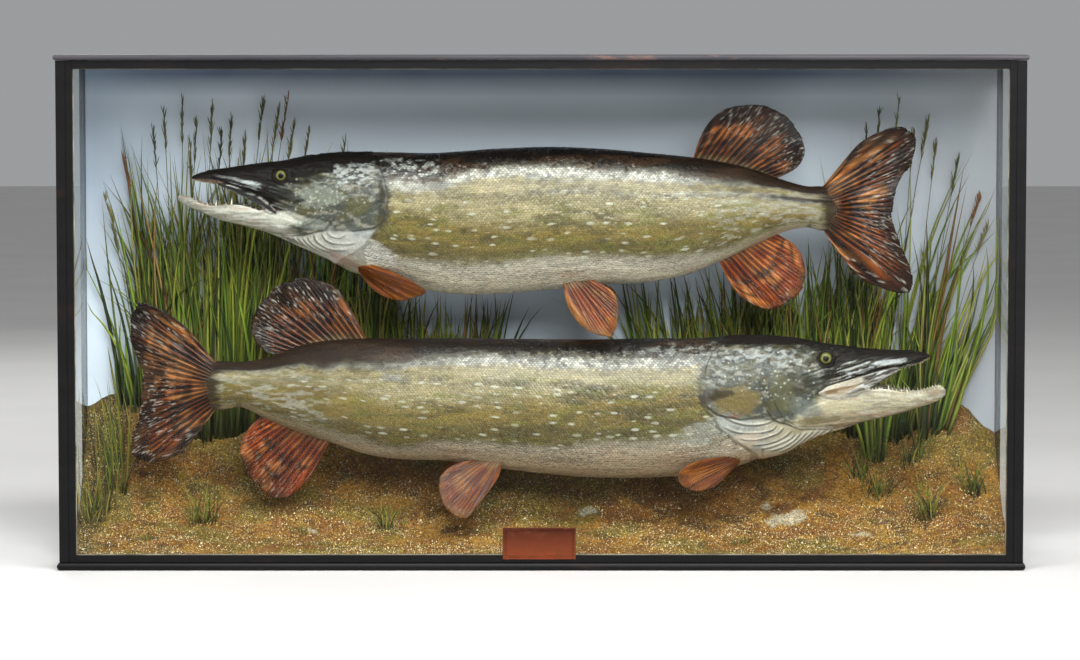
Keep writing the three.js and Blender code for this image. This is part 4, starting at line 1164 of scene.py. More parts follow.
def maxilla_colour(pike, points, outward, colour):
    """The bone of the upper jaw: a pale leaf with a brown middle, or black with a pale rim, with painted
    shade in a dark line round its edge and painted glints on the pale leaf's dark front.
    """
    x, _, z = points.T
    flat = points[:, [0, 2]]
    plate_z, half_plate = maxilla_at(pike, x)
    away, share = distance_to(flat, np.asarray(pike["maxilla"], float)[:, :2])
    width = away / np.maximum(half_plate, 1)
    along = outward * smooth(0.02, 0.15, share)
    edge_tone, middle_tone = (linear(tone) for tone in pike["maxilla_paint"][:2])
    plain = pike["maxilla_paint"][2]
    plate = along * smooth(1.12, 0.98, width)
    grain = rough_noise(slanted(points), (16, 8, 2.2), 35)
    front = share + 0.25 * (grain - 0.5) - 0.2 * (width < 0.8) * (z < plate_z)
    dark_front = smooth(0.52, 0.38, front) * plain
    middle = smooth(0.58, 0.26, width) * smooth(0.46, 0.6, share) * smooth(0.98, 0.86, share)
    rim = plate * (1 - plain) * bell(width - 0.85, 0.2)
    return layered(colour, [
        # Painted shade: a dark line round the bone's edge, fainter below its middle.
        (BACK_BROWN * 0.4, along * bell(width - 1.2, 0.18) * np.where(z > plate_z, 1.0, 0.75)),
        (edge_tone * 0.8, plate * (1 - dark_front)),
        (BACK, plate * dark_front),
        # Painted glints: pale streaks on the dark front of the bone.
        (MAXILLA_GLINT, plate * dark_front * smooth(0.54, 0.62, grain) * 0.8),
        (edge_tone * 0.35, plate * smooth(0.5, 0.66, grain) * 0.6 * (1 - dark_front)),
        (middle_tone, plate * middle * plain),
        (BONE_RIM, rim * patchy(points, (9, 9, 4), 33, 0.35, 0.55)),
    ])


def dark_crown(pike, points, snout, ridges, ragged):
    """How black the top of the head and the snout are; the grooves between the snout's ridges are blackest,
    as painted shade.
    """
    x, _, z = points.T
    plate_z, half_plate = maxilla_at(pike, x)
    over_plate = snout * (z > plate_z)
    black = smooth(-3, 5, z - value_at(pike, "black_above", x) + ragged)
    # Painted shade: the grooves between the snout's ridges are blackest.
    black = np.maximum(black, over_plate * smooth(0.62, 0.54, ridges))
    black = np.maximum(black, over_plate * (x > 10) * 0.8)
    under_plate = (x < pike["maxilla"][-1][0]) & (z < plate_z - half_plate * 0.8)
    return np.where(under_plate, 0, black)


def seams(pike, flat):
    """How dark the painted shade is along the edge of the cheek, and along that of the gill cover."""
    away, share = distance_to(flat, pike["cheek_edge"])
    behind = 1 - in_front(flat, pike["cheek_edge"])
    cheek = bell(away, 1.2) * smooth(0, 0.2, share) * (0.3 + 0.6 * behind)
    away, share = distance_to(flat, pike["gill_edge"])
    gill = bell(away, 1.6) * smooth(0, 0.1, share) * (0.15 + 0.7 * smooth(0.40, 0.62, share))
    return cheek, gill


def head_colour(pike, points, normals):
    """Colour of the head, jaws and gill covers."""
    x, y, z = points.T
    flat = points[:, [0, 2]]
    eye = pike["eye"]
    outward = smooth(0.15, 0.5, normals[:, 1] * np.sign(y))
    rear_x, rear_z, _ = pike["maxilla"][-1]
    plate_z, half_plate = maxilla_at(pike, x)
    snout = smooth(eye["x"] + 20, eye["x"] - 14, x)

    jaw_tone = linear(pike["jaw_tone"])
    jaw_line = rear_z + np.interp(x - rear_x, *JAW_LINE)
    creamy = smooth(8, -10, z - jaw_line + 8 * wavering(points, (14, 14, 6), 29))
    shade = rough_noise(points, (22, 12, 2.6), 23)
    behind_jaw = smooth(rear_x + 40, rear_x + 100, x)
    membrane = blend(np.tile(jaw_tone, (len(x), 1)), MEMBRANE, behind_jaw * 0.8)
    groove, crest = fold_lines(pike, flat)

    ragged = wavering(points, (12, 9, 3.0), 24) * 18
    ridges = bony_streaks(points)
    below_eye = smooth(eye["z"] + 3, eye["z"] - 5, z)
    on_snout = outward * snout * (z > plate_z + half_plate + 2) * smooth(18, 40, x) * below_eye
    colour = layered(np.tile(CHEEK, (len(x), 1)), [
        (CHEEK_OLIVE, patchy(points, (12, 12, 8), 21, 0.44, 0.62) * 0.8),
        (LOW_GREY * 1.3, patchy(points, (9, 9, 4), 28, 0.54, 0.66, 4) * 0.55),
        (jaw_tone, creamy),
        (LOW_GREY * 0.9, creamy * smooth(0.48, 0.62, shade) * 0.6),
        (JAW_LIGHT, creamy * smooth(0.46, 0.34, shade) * 0.5),
        (PINK, creamy * patchy(points, (24, 12, 5), 27, 0.56, 0.72) * 0.35),
        (membrane, smooth(-2, 4, value_at(pike, "folds_under", x) - z)),
        # Painted light on the gill membrane's folds: lighter on the crest above each groove, and painted
        # shade in the groove.
        (FOLD_CREST_LIGHT, crest * 0.65),
        (FOLD_SHADE, groove * 0.9),
        (linear(pike["breast"]), smooth(-3, 7, value_at(pike, "breast_under", x) - z)),
        (BACK, dark_crown(pike, points, snout, ridges, ragged)),
        # Painted glints: pale streaks on the ridges of the snout's bones.
        (SNOUT_GLINT, on_snout * smooth(0.60, 0.69, ridges) * pike["snout_shine"]),
    ])
    colour = np.where((outward > 0.02)[:, None], painted(flat, colour, pike["patches"], 30), colour)
    colour = maxilla_colour(pike, points, outward, colour)
    colour = mouth_colour(pike, points, normals, colour)

    cheek_seam, gill_seam = seams(pike, flat)
    from_eye = np.hypot(x - eye["x"], z - eye["z"])
    eyelid = smooth(eye["radius"] + 6, eye["radius"] + 1, from_eye + ragged * 0.2)
    colour = layered(colour, [
        # Painted shade along the edges of the cheek and the gill cover.
        (FOLD_SHADE * 0.4, outward * cheek_seam),
        (FOLD_SHADE * 0.4, outward * gill_seam),
        (BACK, outward * eyelid * 0.95),
    ])
    speckle = wavering(points, (2.6, 2.6, 2.6), 34, 2)
    return colour * (1 + 0.7 * speckle * (1 - 0.6 * creamy))[:, None]


def dot_field(pike, points):
    """Small white dots on the cheek and gill cover: over 0 inside each, 1 at its middle."""
    draw = random.Random(pike["seed"] + 1)
    flat = points[:, [0, 2]]
    best = np.full(len(points), -1.0)
    start, reach = pike["eye"]["x"] + 10, pike["gill_edge"][4][0]
    for _ in range(DOT_COUNT):
        centre = [draw.triangular(start, reach - 12, start + 40), draw.triangular(-62, -2, -26)]
        radius = draw.choice([1.0, 1.3, 1.6, 2.0])
        best = np.maximum(best, 1 - np.linalg.norm(flat - centre, axis=1) / radius)
    return best


def pike_colours(pike, points, normals):
    """Colour, white dots of the head, share of trunk and height up the side of many points."""
    colour, height = trunk_colour(pike, points)
    dots = np.full(len(points), -1.0)
    flat = points[:, [0, 2]]
    away, _ = distance_to(flat, np.asarray(pike["bare_edge"], float))
    on_head = in_front(flat, pike["bare_edge"])
    ragged = 22 * wavering(points, (13, 13, 7), 37)
    upper = smooth(-66, -40, points[:, 2])
    inside = away * np.where(on_head > 0.5, 1, -1) + ragged * upper
    share = smooth(-3 - 11 * upper, 3 + 5 * upper, inside) * (points[:, 0] < SEAM + 40)
    front = share > 0
    if front.any():
        head = head_colour(pike, points[front], normals[front])
        colour[front] = blend(colour[front], head, share[front])
        dots[front] = np.where(on_head[front] > 0.5, dot_field(pike, points[front]), -1)
    near = points[:, 0] < SEAM + 110
    if near.any():
        colour[near] = painted(flat[near], colour[near], pike["shoulder_patches"], 70)
    return colour, dots, 1 - on_head, height


def set_markings(mesh, pike, points, colour, dots, trunk, height):
    """Stores what the skin's material needs: its colour and where its spots and dots lie."""
    set_colours(mesh, colour)
    set_values(mesh, "dot", dots)
    spotted = smooth(0.14, 0.22, height) * smooth(0.74, 0.66, height) * smooth(0.6, 1, trunk)
    spotted = spotted * smooth(pike["tail_end"] - 40, pike["tail_end"] - 120, points[:, 0])
    set_values(mesh, "spotted", spotted)
    dull = value_at(pike, "dull_back", points[:, 0]) * smooth(0.62, 0.76, height)
    dull = np.maximum(dull, 0.8 * smooth(pike["tail_end"] - 30, pike["tail_end"] - 8, points[:, 0]))
    black = smooth(0.05, 0.02, colour.mean(axis=1))
    set_values(mesh, "dull", np.where(trunk > 0.5, dull, 0.7 * black))
    own = np.where(points[:, 1] > 0, *SPOT_SHIFT) + pike["faces"] * 7
    chart = np.zeros((len(points), 3), np.float32)
    chart[:, 0] = points[:, 0] / SPOT_CELL[0] + own
    chart[:, 1] = height * SIDE_DEPTH / SPOT_CELL[1]
    layer = mesh.attributes.new(name="chart", type="FLOAT_VECTOR", domain="POINT")
    layer.data.foreach_set("vector", chart.ravel())


# ---------------------------------------------------------------- materials of the fish


def skin_material():
    """Varnished skin: its markings, fine stippling and pores under a glossy coat."""
    shader = Shader("pike_skin_varnished")
    stipple = shader.noise(900, 3, (1, 1, 1.6), 0.7)
    base = shader.shaded(shader.ramp(stipple, 0.40, 0.62, 0.72, 1.16))
    chart = shader.read("chart", "Vector")
    wobble = shader.add("TexNoise", {"Vector": chart, "Scale": 3.0}, noise_dimensions="2D")
    place = shader.mix(0.22, chart, wobble.outputs["Color"], "ADD")
    cell = shader.add("TexVoronoi", {"Vector": place, "Scale": 1.0}, voronoi_dimensions="2D")
    chance = shader.add("SeparateColor", {0: cell.outputs["Color"]})
    size = shader.ramp(chance.outputs[1], 0, 1, 0.16, 0.30)
    spot = shader.ramp(shader.math("SUBTRACT", size, cell.outputs["Distance"]), 0, 0.13)
    spot = shader.math("MULTIPLY", spot, shader.math("GREATER_THAN", chance.outputs[0], 0.52))
    spot = shader.math("MULTIPLY", spot, shader.read("spotted", "Fac"))
    dot = shader.ramp(shader.read("dot", "Fac"), 0.0, 0.8)
    spot = shader.math("MULTIPLY", spot, shader.ramp(chance.outputs[2], 0, 1, 0.5, 1.1))
    base = shader.mix(shader.math("MULTIPLY", shader.math("MAXIMUM", spot, dot), 0.72), base, (*SPOT, 1))
    grain = shader.noise(330, 4, (1, 1, 1), 0.65)
    normal = shader.bump(grain, 0.0011, 0.7)
    normal = shader.bump(stipple, 0.0003, 0.4, normal)
    rough = shader.ramp(shader.noise(160, 3), 0.3, 0.7, 0.24, 0.42)
    dull = shader.read("dull", "Fac")
    rough = shader.math("ADD", rough, shader.math("MULTIPLY", dull, 0.4))
    coat = shader.ramp(dull, 0, 0.7, 0.9, 0.06)
    return shader.done(
        Base_Color=base, Roughness=rough, Normal=normal, Coat_Weight=coat, Coat_Roughness=0.09,
        Specular_IOR_Level=0.14, Coat_Normal=normal,
    )


def fin_material():
    """Dried, varnished fins."""
    shader = Shader("pike_fin_varnished")
    streak = shader.noise(700, 3, (1, 1, 1), 0.6)
    base = shader.shaded(shader.ramp(streak, 0.3, 0.7, 0.75, 1.25))
    grain = shader.noise(300, 3, (1, 1, 1), 0.6)
    normal = shader.bump(grain, 0.0008, 0.5)
    normal = shader.bump(streak, 0.0004, 0.5, normal)
    rough = shader.ramp(shader.noise(240, 2), 0.3, 0.7, 0.3, 0.5)
    return shader.done(
        Base_Color=base, Roughness=rough, Normal=normal, Coat_Weight=0.36, Coat_Roughness=0.1,
        Coat_Normal=normal, Specular_IOR_Level=0.04,
    )


def tooth_material():
    """Ivory teeth."""
    shader = Shader("pike_tooth_ivory")
    base = shader.mix(shader.ramp(shader.noise(500, 3), 0.3, 0.7), "#efe8d4", "#d9cba8")
    normal = shader.bump(shader.noise(900, 2), 0.0002, 0.4)
    return shader.done(Base_Color=base, Roughness=0.25, Normal=normal, Coat_Weight=0.4, Coat_Roughness=0.1)


# Zones of the eye: share of its radius where each starts and where it is full, and its colour.
EYE_ZONES = [
    (0.62, 0.86, "#3f3c1c"), (0.52, 0.44, "#989050"), (0.45, 0.41, "#050505"), (0.84, 0.92, "#0b0a09"),
]


def eye_material():
    """A glass eye: black pupil, gold ring, olive iris and a dark rim, under a clear dome."""
    shader = Shader("pike_eye_glass")
    reach = shader.read("reach", "Fac")
    fleck = shader.noise(1500, 3, (1, 1, 1), 0.7)
    iris = shader.mix(shader.ramp(fleck, 0.35, 0.65), "#585a2b", "#84844e")
    for start, full, tone in EYE_ZONES:
        iris = shader.mix(shader.ramp(reach, start, full), iris, tone)
    return shader.done(
        Base_Color=iris, Roughness=0.3, Coat_Weight=0.35, Coat_Roughness=0.03, Specular_IOR_Level=0.08,
    )


# ---------------------------------------------------------------- pieces of the fish


def behind_gills(pike, points):
    """How far behind the bare skin's edge each point lies, in millimetres; negative ahead of it."""
    flat = points[:, [0, 2]]
    edge = np.asarray(pike["bare_edge"], float)
    return distance_to(flat, edge)[0] * np.where(in_front(flat, edge) > 0.5, -1, 1)


def skin_piece(pike, girth, material):
    """One skin without a seam over head and trunk, inside the flesh by the coat's depth."""
    work = head_mesh(pike)
    add_trunk(work, girth)
    mesh = bpy.data.meshes.new(pike["name"] + "_skin")
    work.to_mesh(mesh)
    work.free()
    points = points_of(mesh)
    normals = normals_of(mesh)
    points = points + normals * head_relief(pike, points, normals)[:, None]
    behind = behind_gills(pike, points)
    not_inset = smooth(SEAM + 12, SEAM, points[:, 0])
    points = points - normals * (COAT_DEPTH * smooth(-1, 4, behind) * not_inset)[:, None]
    colour, dots, trunk, height = pike_colours(pike, points, normals)
    # Painted shade: the skin is darker where the scales cover it and, low on the body, in the gaps between
    # the scales.
    shade_under_scales = smooth(0.5, 1, trunk) * smooth(pike["tail_end"] + 6, pike["tail_end"] - 2, points[:, 0])
    scaled = smooth(0, 6, behind) * smooth(pike["scales_from"], pike["scales_from"] + 10, points[:, 0])
    between = smooth(0.36, 0.22, height) * scaled
    shade = (1 - 0.4 * shade_under_scales) * (1 - 0.55 * between)
    set_markings(mesh, pike, points, colour * shade[:, None], dots, trunk, height)
    mesh.vertices.foreach_set("co", to_world(pike, points).ravel())
    mesh.update()
    new_piece(pike["name"] + "_skin", mesh, material, pike["flesh"])


# Outline and crown of one scale: along from its root, across, and lift, each as a share.
SCALE_OUTLINE = [
    (0.00, -0.26, -0.60), (0.50, -0.50, -0.12), (0.86, -0.36, 0.30), (1.00, 0.0, 0.62),
    (0.86, 0.36, 0.30), (0.50, 0.50, -0.12), (0.00, 0.26, -0.60),
]
SCALE_CROWN = (0.66, 0.0, 0.66)
# How light the outline's points and the crown are, on the flank and on the glossy back: painted shade round
# each scale's rim and a painted highlight on its crown, stronger on the back.
SCALE_SHADE = [0.66, 0.60, 0.72, 0.78, 0.72, 0.60, 0.66, 1.22]
SHINY_SHADE = [0.40, 0.36, 0.50, 0.55, 0.50, 0.36, 0.40, 1.65]
COLUMNS = 80  # scales in one ring round the body; the next ring's lie between them
PITCH = 0.38  # spacing of the rings over that of the scales in a ring
LEAST_PITCH = 1.7
# A scale's length over the rings' spacing and its width over the scales' spacing, each as on the
# flank and how much more it is on the belly.
SCALE_LENGTH = (3.3, 0.7)
SCALE_WIDTH = (0.86, -0.26)
FULL_LIFT = 7.0  # spacing of the scales from which they stand out in full
# The coat's pieces: name, side, and the shares of the rings between which each lies.
SCALE_PARTS = (
    ("right_front", 1, 0.0, 0.44), ("right_rear", 1, 0.44, 1.0),
    ("left_front", -1, 0.0, 0.44), ("left_rear", -1, 0.44, 1.0),
)


def scale_rings(girth):
    """Where the rings of scales start, closer together where the body is thinner."""
    x, places = float(girth.pike["scales_from"]), []
    while x < girth.pike["tail_end"]:
        places.append(x)
        x += max(LEAST_PITCH, float(PITCH * girth.length(x) / COLUMNS))
    return np.array(places)


def scale_places(girth, part, draw):
    """One coat piece's scales: x, share round the body, ring, place in the ring and root."""
    _, side, first, last = part
    rings = scale_rings(girth)
    ring, column = (a.ravel() for a in np.meshgrid(np.arange(len(rings)), np.arange(COLUMNS), indexing="ij"))
    share = (column + 0.5 * (ring % 2)) / COLUMNS
    x = rings[ring] + draw.normal(0, 0.2, len(ring))
    share = share + draw.normal(0, 0.02, len(ring)) / COLUMNS
    root = girth.point(x, share, COAT_DEPTH)
    keep = (in_front(root[:, [0, 2]], girth.pike["bare_edge"]) < 0.5) & (root[:, 1] * side > 0)
    keep = keep & (ring >= first * len(rings)) & (ring < last * len(rings))
    return x[keep], share[keep], ring[keep], column[keep], root[keep]


def scale_axes(girth, x, share, root, draw):
    """Each scale's directions along the body, across it and out of it, all slightly turned."""
    along = girth.point(x + 1, share, COAT_DEPTH) - root
    along /= np.linalg.norm(along, axis=1)[:, None]
    across = girth.point(x, share + 0.002, COAT_DEPTH) - root
    across -= along * np.sum(along * across, axis=1)[:, None]
    across /= np.linalg.norm(across, axis=1)[:, None]
    out = np.cross(across, along)
    roll = draw.normal(0, 0.09, len(x))[:, None]
    across, out = across + out * roll, out - across * roll
    turn = draw.normal(0, 0.05, len(x))[:, None]
    return along + across * turn, across - along * turn, out


def scale_points(girth, x, root, axes, draw):
    """Points of each scale's outline and crown, laid out along its own directions."""
    width = girth.length(x) / COLUMNS
    _, back, under, _, _ = row_at(girth.pike["body"], x).T
    low = smooth(0.30, 0.16, (root[:, 2] - under) / (back - under))
    long = np.maximum(LEAST_PITCH, width * PITCH) * (SCALE_LENGTH[0] + SCALE_LENGTH[1] * low)
    long = long * draw.uniform(0.94, 1.06, len(x))
    wide = width * (SCALE_WIDTH[0] + SCALE_WIDTH[1] * low)
    lift = draw.uniform(0.8, 1.25, len(x)) * np.clip(width / FULL_LIFT, 0.45, 1.0)
    shape = np.array([*SCALE_OUTLINE, SCALE_CROWN])
    whole = root[:, None, :] + sum(
        axis[:, None, :] * (shape[:, i] * size[:, None])[..., None]
        for i, (axis, size) in enumerate(zip(axes, (long, wide, lift)))
    )
    return whole.reshape(-1, 3)


def scale_faces(count):
    """Faces of so many scales, each a crowned top over a flat underside."""
    rim = len(SCALE_OUTLINE)
    crown = [[rim, (i + 1) % rim, i] for i in range(rim)]
    underside = [[0, i, i + 1] for i in range(1, rim - 1)]
    first = (np.arange(count) * (rim + 1))[:, None, None]
    return (np.array(crown + underside)[None] + first).reshape(-1, 3)


def scales_piece(pike, girth, material, seed, part):
    """Overlapping scales of one side's front or rear, each a closed shell rooted in the skin."""
    draw = np.random.default_rng(seed)
    x, share, ring, column, root = scale_places(girth, part, draw)
    axes = scale_axes(girth, x, share, root, draw)
    points = scale_points(girth, x, root, axes, draw)
    count, each = len(x), len(SCALE_SHADE)
    colour, dots, trunk, height = pike_colours(pike, points, np.repeat(axes[2], each, axis=0))
    # Painted light of the scales: painted shade round each rim and a painted highlight on each crown; in the
    # shiny band below the back these are stronger, and each scale gets a painted glint of its own
    # brightness.
    dull = value_at(pike, "dull_back", points[:, 0])
    shiny = smooth(0.75, 0.84, height) * (1 - 0.85 * dull)
    shade = np.tile(SCALE_SHADE, count) * (1 - shiny) + np.tile(SHINY_SHADE, count) * shiny
    row_tone = wavering(np.stack([x, column], axis=1), (45, 0.9), seed + 6, 2)
    tone = np.repeat(draw.normal(1, 0.10, count) + 0.5 * row_tone, each)
    glint = np.repeat(draw.uniform(0.45, 1.55, count), each)
    gloss = 1 + shiny * (glint * pike["gloss"] - 1)
    colour = colour * (shade * np.clip(tone, 0.5, 1.5) * gloss)[:, None]
    name = f"{pike['name']}_scales_{part[0]}"
    mesh = new_mesh(name, to_world(pike, points), scale_faces(count))
    set_markings(mesh, pike, points, colour, dots, trunk, height)
    mesh.set_sharp_from_angle(angle=math.radians(60))
    set_scale_map(mesh, len(scale_rings(girth)), ring, share % 1)
    new_piece(name, mesh, material)


SCALE_PATCH = 0.003  # size of one scale on the bake map
MAP_MARGIN = 0.02


def set_scale_map(mesh, ring_count, ring, share):
    """The bake map: each scale is a small patch at its root's place on the unrolled skin."""
    room = 1 - 2 * MAP_MARGIN
    centre = np.stack([MAP_MARGIN + room * ring / ring_count, MAP_MARGIN + room * share], axis=1)
    shape = np.array([*SCALE_OUTLINE, SCALE_CROWN])[:, :2] - [0.5, 0]
    whole = centre[:, None, :] + shape[None] * SCALE_PATCH
    corners = np.empty(len(mesh.loops), np.int32)
    mesh.loops.foreach_get("vertex_index", corners)
    layer = mesh.uv_layers.new(name="OFBake")
    layer.data.foreach_set("uv", whole.reshape(-1, 2)[corners].ravel())


def eye_pieces(pike, material):
    """Domed glass eyes, set into the head."""
    eye = pike["eye"]
    rings, sides = 26, 40
    for side, name in ((1, "right"), (-1, "left")):
        angle = round_angles(sides)
        tilt = np.linspace(0.02, math.pi - 0.02, rings)
        ring = np.sin(tilt)[:, None]
        points = np.stack([
            eye["x"] + eye["radius"] * ring * np.cos(angle),
            side * (eye["out"] + eye["radius"] * np.cos(tilt)[:, None] * np.ones(sides)),
            eye["z"] + eye["radius"] * ring * np.sin(angle),
        ], axis=-1)
        flat, faces = loft(points)
        mesh = new_mesh(f"{pike['name']}_eye_{name}", to_world(pike, flat), faces)
        far = np.hypot(flat[:, 0] - eye["x"], flat[:, 2] - eye["z"]) / eye["radius"]
        set_values(mesh, "reach", np.where(flat[:, 1] * side > eye["out"], far, 1.0))
        piece = f"{pike['name']}_glass_eye_{name}"
        new_piece(piece, mesh, material, [f"pike_eye_{name}"] if pike["in_full"] else ())


def tooth(tip, height, radius, lean, sides=7, steps=4):
    """A curved cone of closed rings, pointing up from z 0 to its height."""
    share = np.linspace(0, 1, steps)
    angle = round_angles(sides)
    rings = [
        np.stack([
            lean * height * s**2 + radius * (1 - 0.94 * s) * np.cos(angle),
            radius * (1 - 0.94 * s) * np.sin(angle),
            np.full(sides, height * s),
        ], axis=1)
        for s in share
    ]
    points, faces = loft(np.array(rings))
    return points + tip, faces


def teeth_piece(pike, material, seed):
    """Rows of teeth: fangs along the lower jaw, small ones in front and all round the upper."""
    draw = random.Random(seed)
    jaw, body = np.asarray(pike["jaw"], float), pike["body"]
    shapes = []
    last = pike["maxilla"][3][0]
    for side in (-1, 1):
        x = jaw[0, 0] + 4
        while x < last:
            _, lip, _, half = row_at(jaw, [x])[0]
            share = (x - jaw[0, 0]) / (last - jaw[0, 0])
            fang = bell(share - 0.62, 0.26) * draw.uniform(0.2, 1.0) ** 1.5
            height = 2.2 + 7.2 * fang + draw.uniform(0, 0.8)
            base = np.array([x, side * (half * 0.93 - 0.6), lip - 1.4])
            shapes.append(tooth(base, height, 0.7 + 0.9 * fang, draw.uniform(0.05, 0.35)))
            x += pike["tooth_gap"] * (2.6 + 6.0 * fang + draw.uniform(0, 2.5))
        x = 6.0
        while x < last:
            _, _, under, half, _ = row_at(body, [x])[0]
            small, faces = tooth(np.zeros(3), draw.uniform(1.6, 2.8), 0.55, 0.5)
            base = np.array([x, side * half * 0.74, under + 1.3])
            shapes.append((small * [1, 1, -1] + base, [face[::-1] for face in faces]))
            x += pike["tooth_gap"] * draw.uniform(3.0, 6.0)
    points, faces = joined(shapes)
    mesh = new_mesh(pike["name"] + "_teeth", to_world(pike, points), faces)
    new_piece(pike["name"] + "_teeth", mesh, material)


# ---------------------------------------------------------------- fins

FIN_INK = linear("#100c0a")
FIN_GLINT = linear("#b3aca0")
PAIRED_MESH, MEDIAN_MESH = (180, 34), (300, 44)  # points of a fin's mesh across its rays and along
RAY_HEIGHT = 0.85  # how far a ray stands out of the fin's web at its root, in millimetres
# Each kind's colours, and the shares of ink blotches, of dark bars and of painted glints (pale painted
# highlights) on it, with the share of the way out from which its edge is darker.
FIN_COLOURS = {
    "dark": {
        "web": "#1a0c05", "ray": "#6b2f0e", "bright": "#a8622c", "root": "#94805a", "edge": "#0b0807",
        "inked": 0.75, "bars": 0.0, "dark_from": 0.56, "glint": 0.6,
    },
    "tail": {
        "web": "#1a0d07", "ray": "#74380f", "bright": "#b8783e", "root": "#3d2a18", "edge": "#0b0807",
        "inked": 0.8, "bars": 0.2, "dark_from": 0.62, "glint": 0.55,
    },
    "red": {
        "web": "#4a1808", "ray": "#8a3d12", "bright": "#b56f32", "root": "#8f6036", "edge": "#3a1c0c",
        "inked": 0.35, "bars": 0.8, "dark_from": 0.80, "glint": 0.3,
    },
    "edged": {
        "web": "#4a1a06", "ray": "#85400f", "bright": "#a56c34", "root": "#94805e", "edge": "#6b4a28",
        "inked": 0.15, "bars": 0.3, "dark_from": 0.80, "glint": 0.2,
    },
    "plain": {
        "web": "#472003", "ray": "#773a05", "bright": "#96580f", "root": "#7c4812", "edge": "#552d06",
        "inked": 0.0, "bars": 0.0, "dark_from": 0.80, "glint": 0.05,
    },
}


def fin_shares(fin, across):
    """For each column of a fin, its share of the root and of the edge, bunched at both ends."""
    _, shares = line_through(fin["edge"])
    front, rear = (np.interp(c, np.arange(len(shares)), shares) for c in fin["corners"])
    u = np.linspace(0, 1, across)
    edge = np.interp(u, [0, 0.09, 0.93, 1], [0.015, front, rear, 0.985])
    root = np.interp(u, [0, 0.09, 0.93, 1], [0, 0.04, 0.96, 1])
    return u, root, edge


def ray_lines(place, v):
    """1 along the middle of each ray and less beside it; each ray forks twice on its way out."""
    centre = np.abs((place % 1) - 0.5)
    split = np.abs(centre - 0.25 * smooth(0.30, 0.80, v))
    split = np.abs(split - 0.12 * smooth(0.62, 1.0, v))
    return bell(split, 0.17 - 0.09 * smooth(0.3, 1.0, v))


def fin_colour(kind, shade, place, v, ray, u, seed):
    """Colours of one face of a fin: dark web, warm rays, inked blotches and a paler or blacker edge, with
    painted glints.
    """
    look = FIN_COLOURS[kind]
    tones = {part: linear(tone) for part, tone in look.items() if isinstance(tone, str)}
    place, v, ray, u = (np.broadcast_to(a, ray.shape).ravel() for a in (place, v, ray, u))
    grid = np.stack([place, v * 9], axis=-1)
    lit = patchy(grid, (1.6, 2.4), seed + 3, 0.46, 0.66)
    blotch = patchy(grid, (1.9, 1.5), seed + 5, 0.50, 0.64, 4)
    wave = 0.10 * wavering(grid, (3.0, 30), seed + 6)
    bars = bell(v + wave - 0.47, 0.06) + bell(v + wave - 0.72, 0.05)
    torn = v + 0.35 * wavering(grid, (0.9, 2), seed + 7)
    colour = layered(np.tile(tones["web"], (len(v), 1)), [
        (tones["ray"], ray * 0.95),
        (tones["bright"], lit * (0.15 + 0.75 * ray)),
        (FIN_INK, blotch * look["inked"] * (0.95 - 0.3 * ray)),
        (FIN_INK, bars * look["bars"] * smooth(0.25, 0.45, lit + 0.3)),
        (tones["edge"], smooth(look["dark_from"], look["dark_from"] + 0.22, torn) * 0.85),
        (tones["bright"], smooth(0.05, 0.0, u) * smooth(0.0, 0.2, v) * 0.6),
        (tones["root"], smooth(0.20, 0.03, v) * (0.25 + 0.7 * ray)),
    ])
    own = np.random.default_rng(seed + 8).uniform(0.55, 1.35, 64)[np.floor(place + 0.5).astype(int)]
    fine = rough_noise(grid, (0.16, 2.5), seed + 10, 2)
    grain = 0.45 + 0.5 * rough_noise(grid, (0.5, 1.1), seed + 9, 2) + 0.6 * fine
    colour = colour * (shade * own * grain)[:, None]
    # Painted glints: pale flecks that stand for highlights.
    glint = patchy(grid, (0.15, 0.5), seed + 11, 0.70, 0.78, 2) * smooth(0.25, 0.6, v)
    return blend(colour, FIN_GLINT, glint * look["glint"])


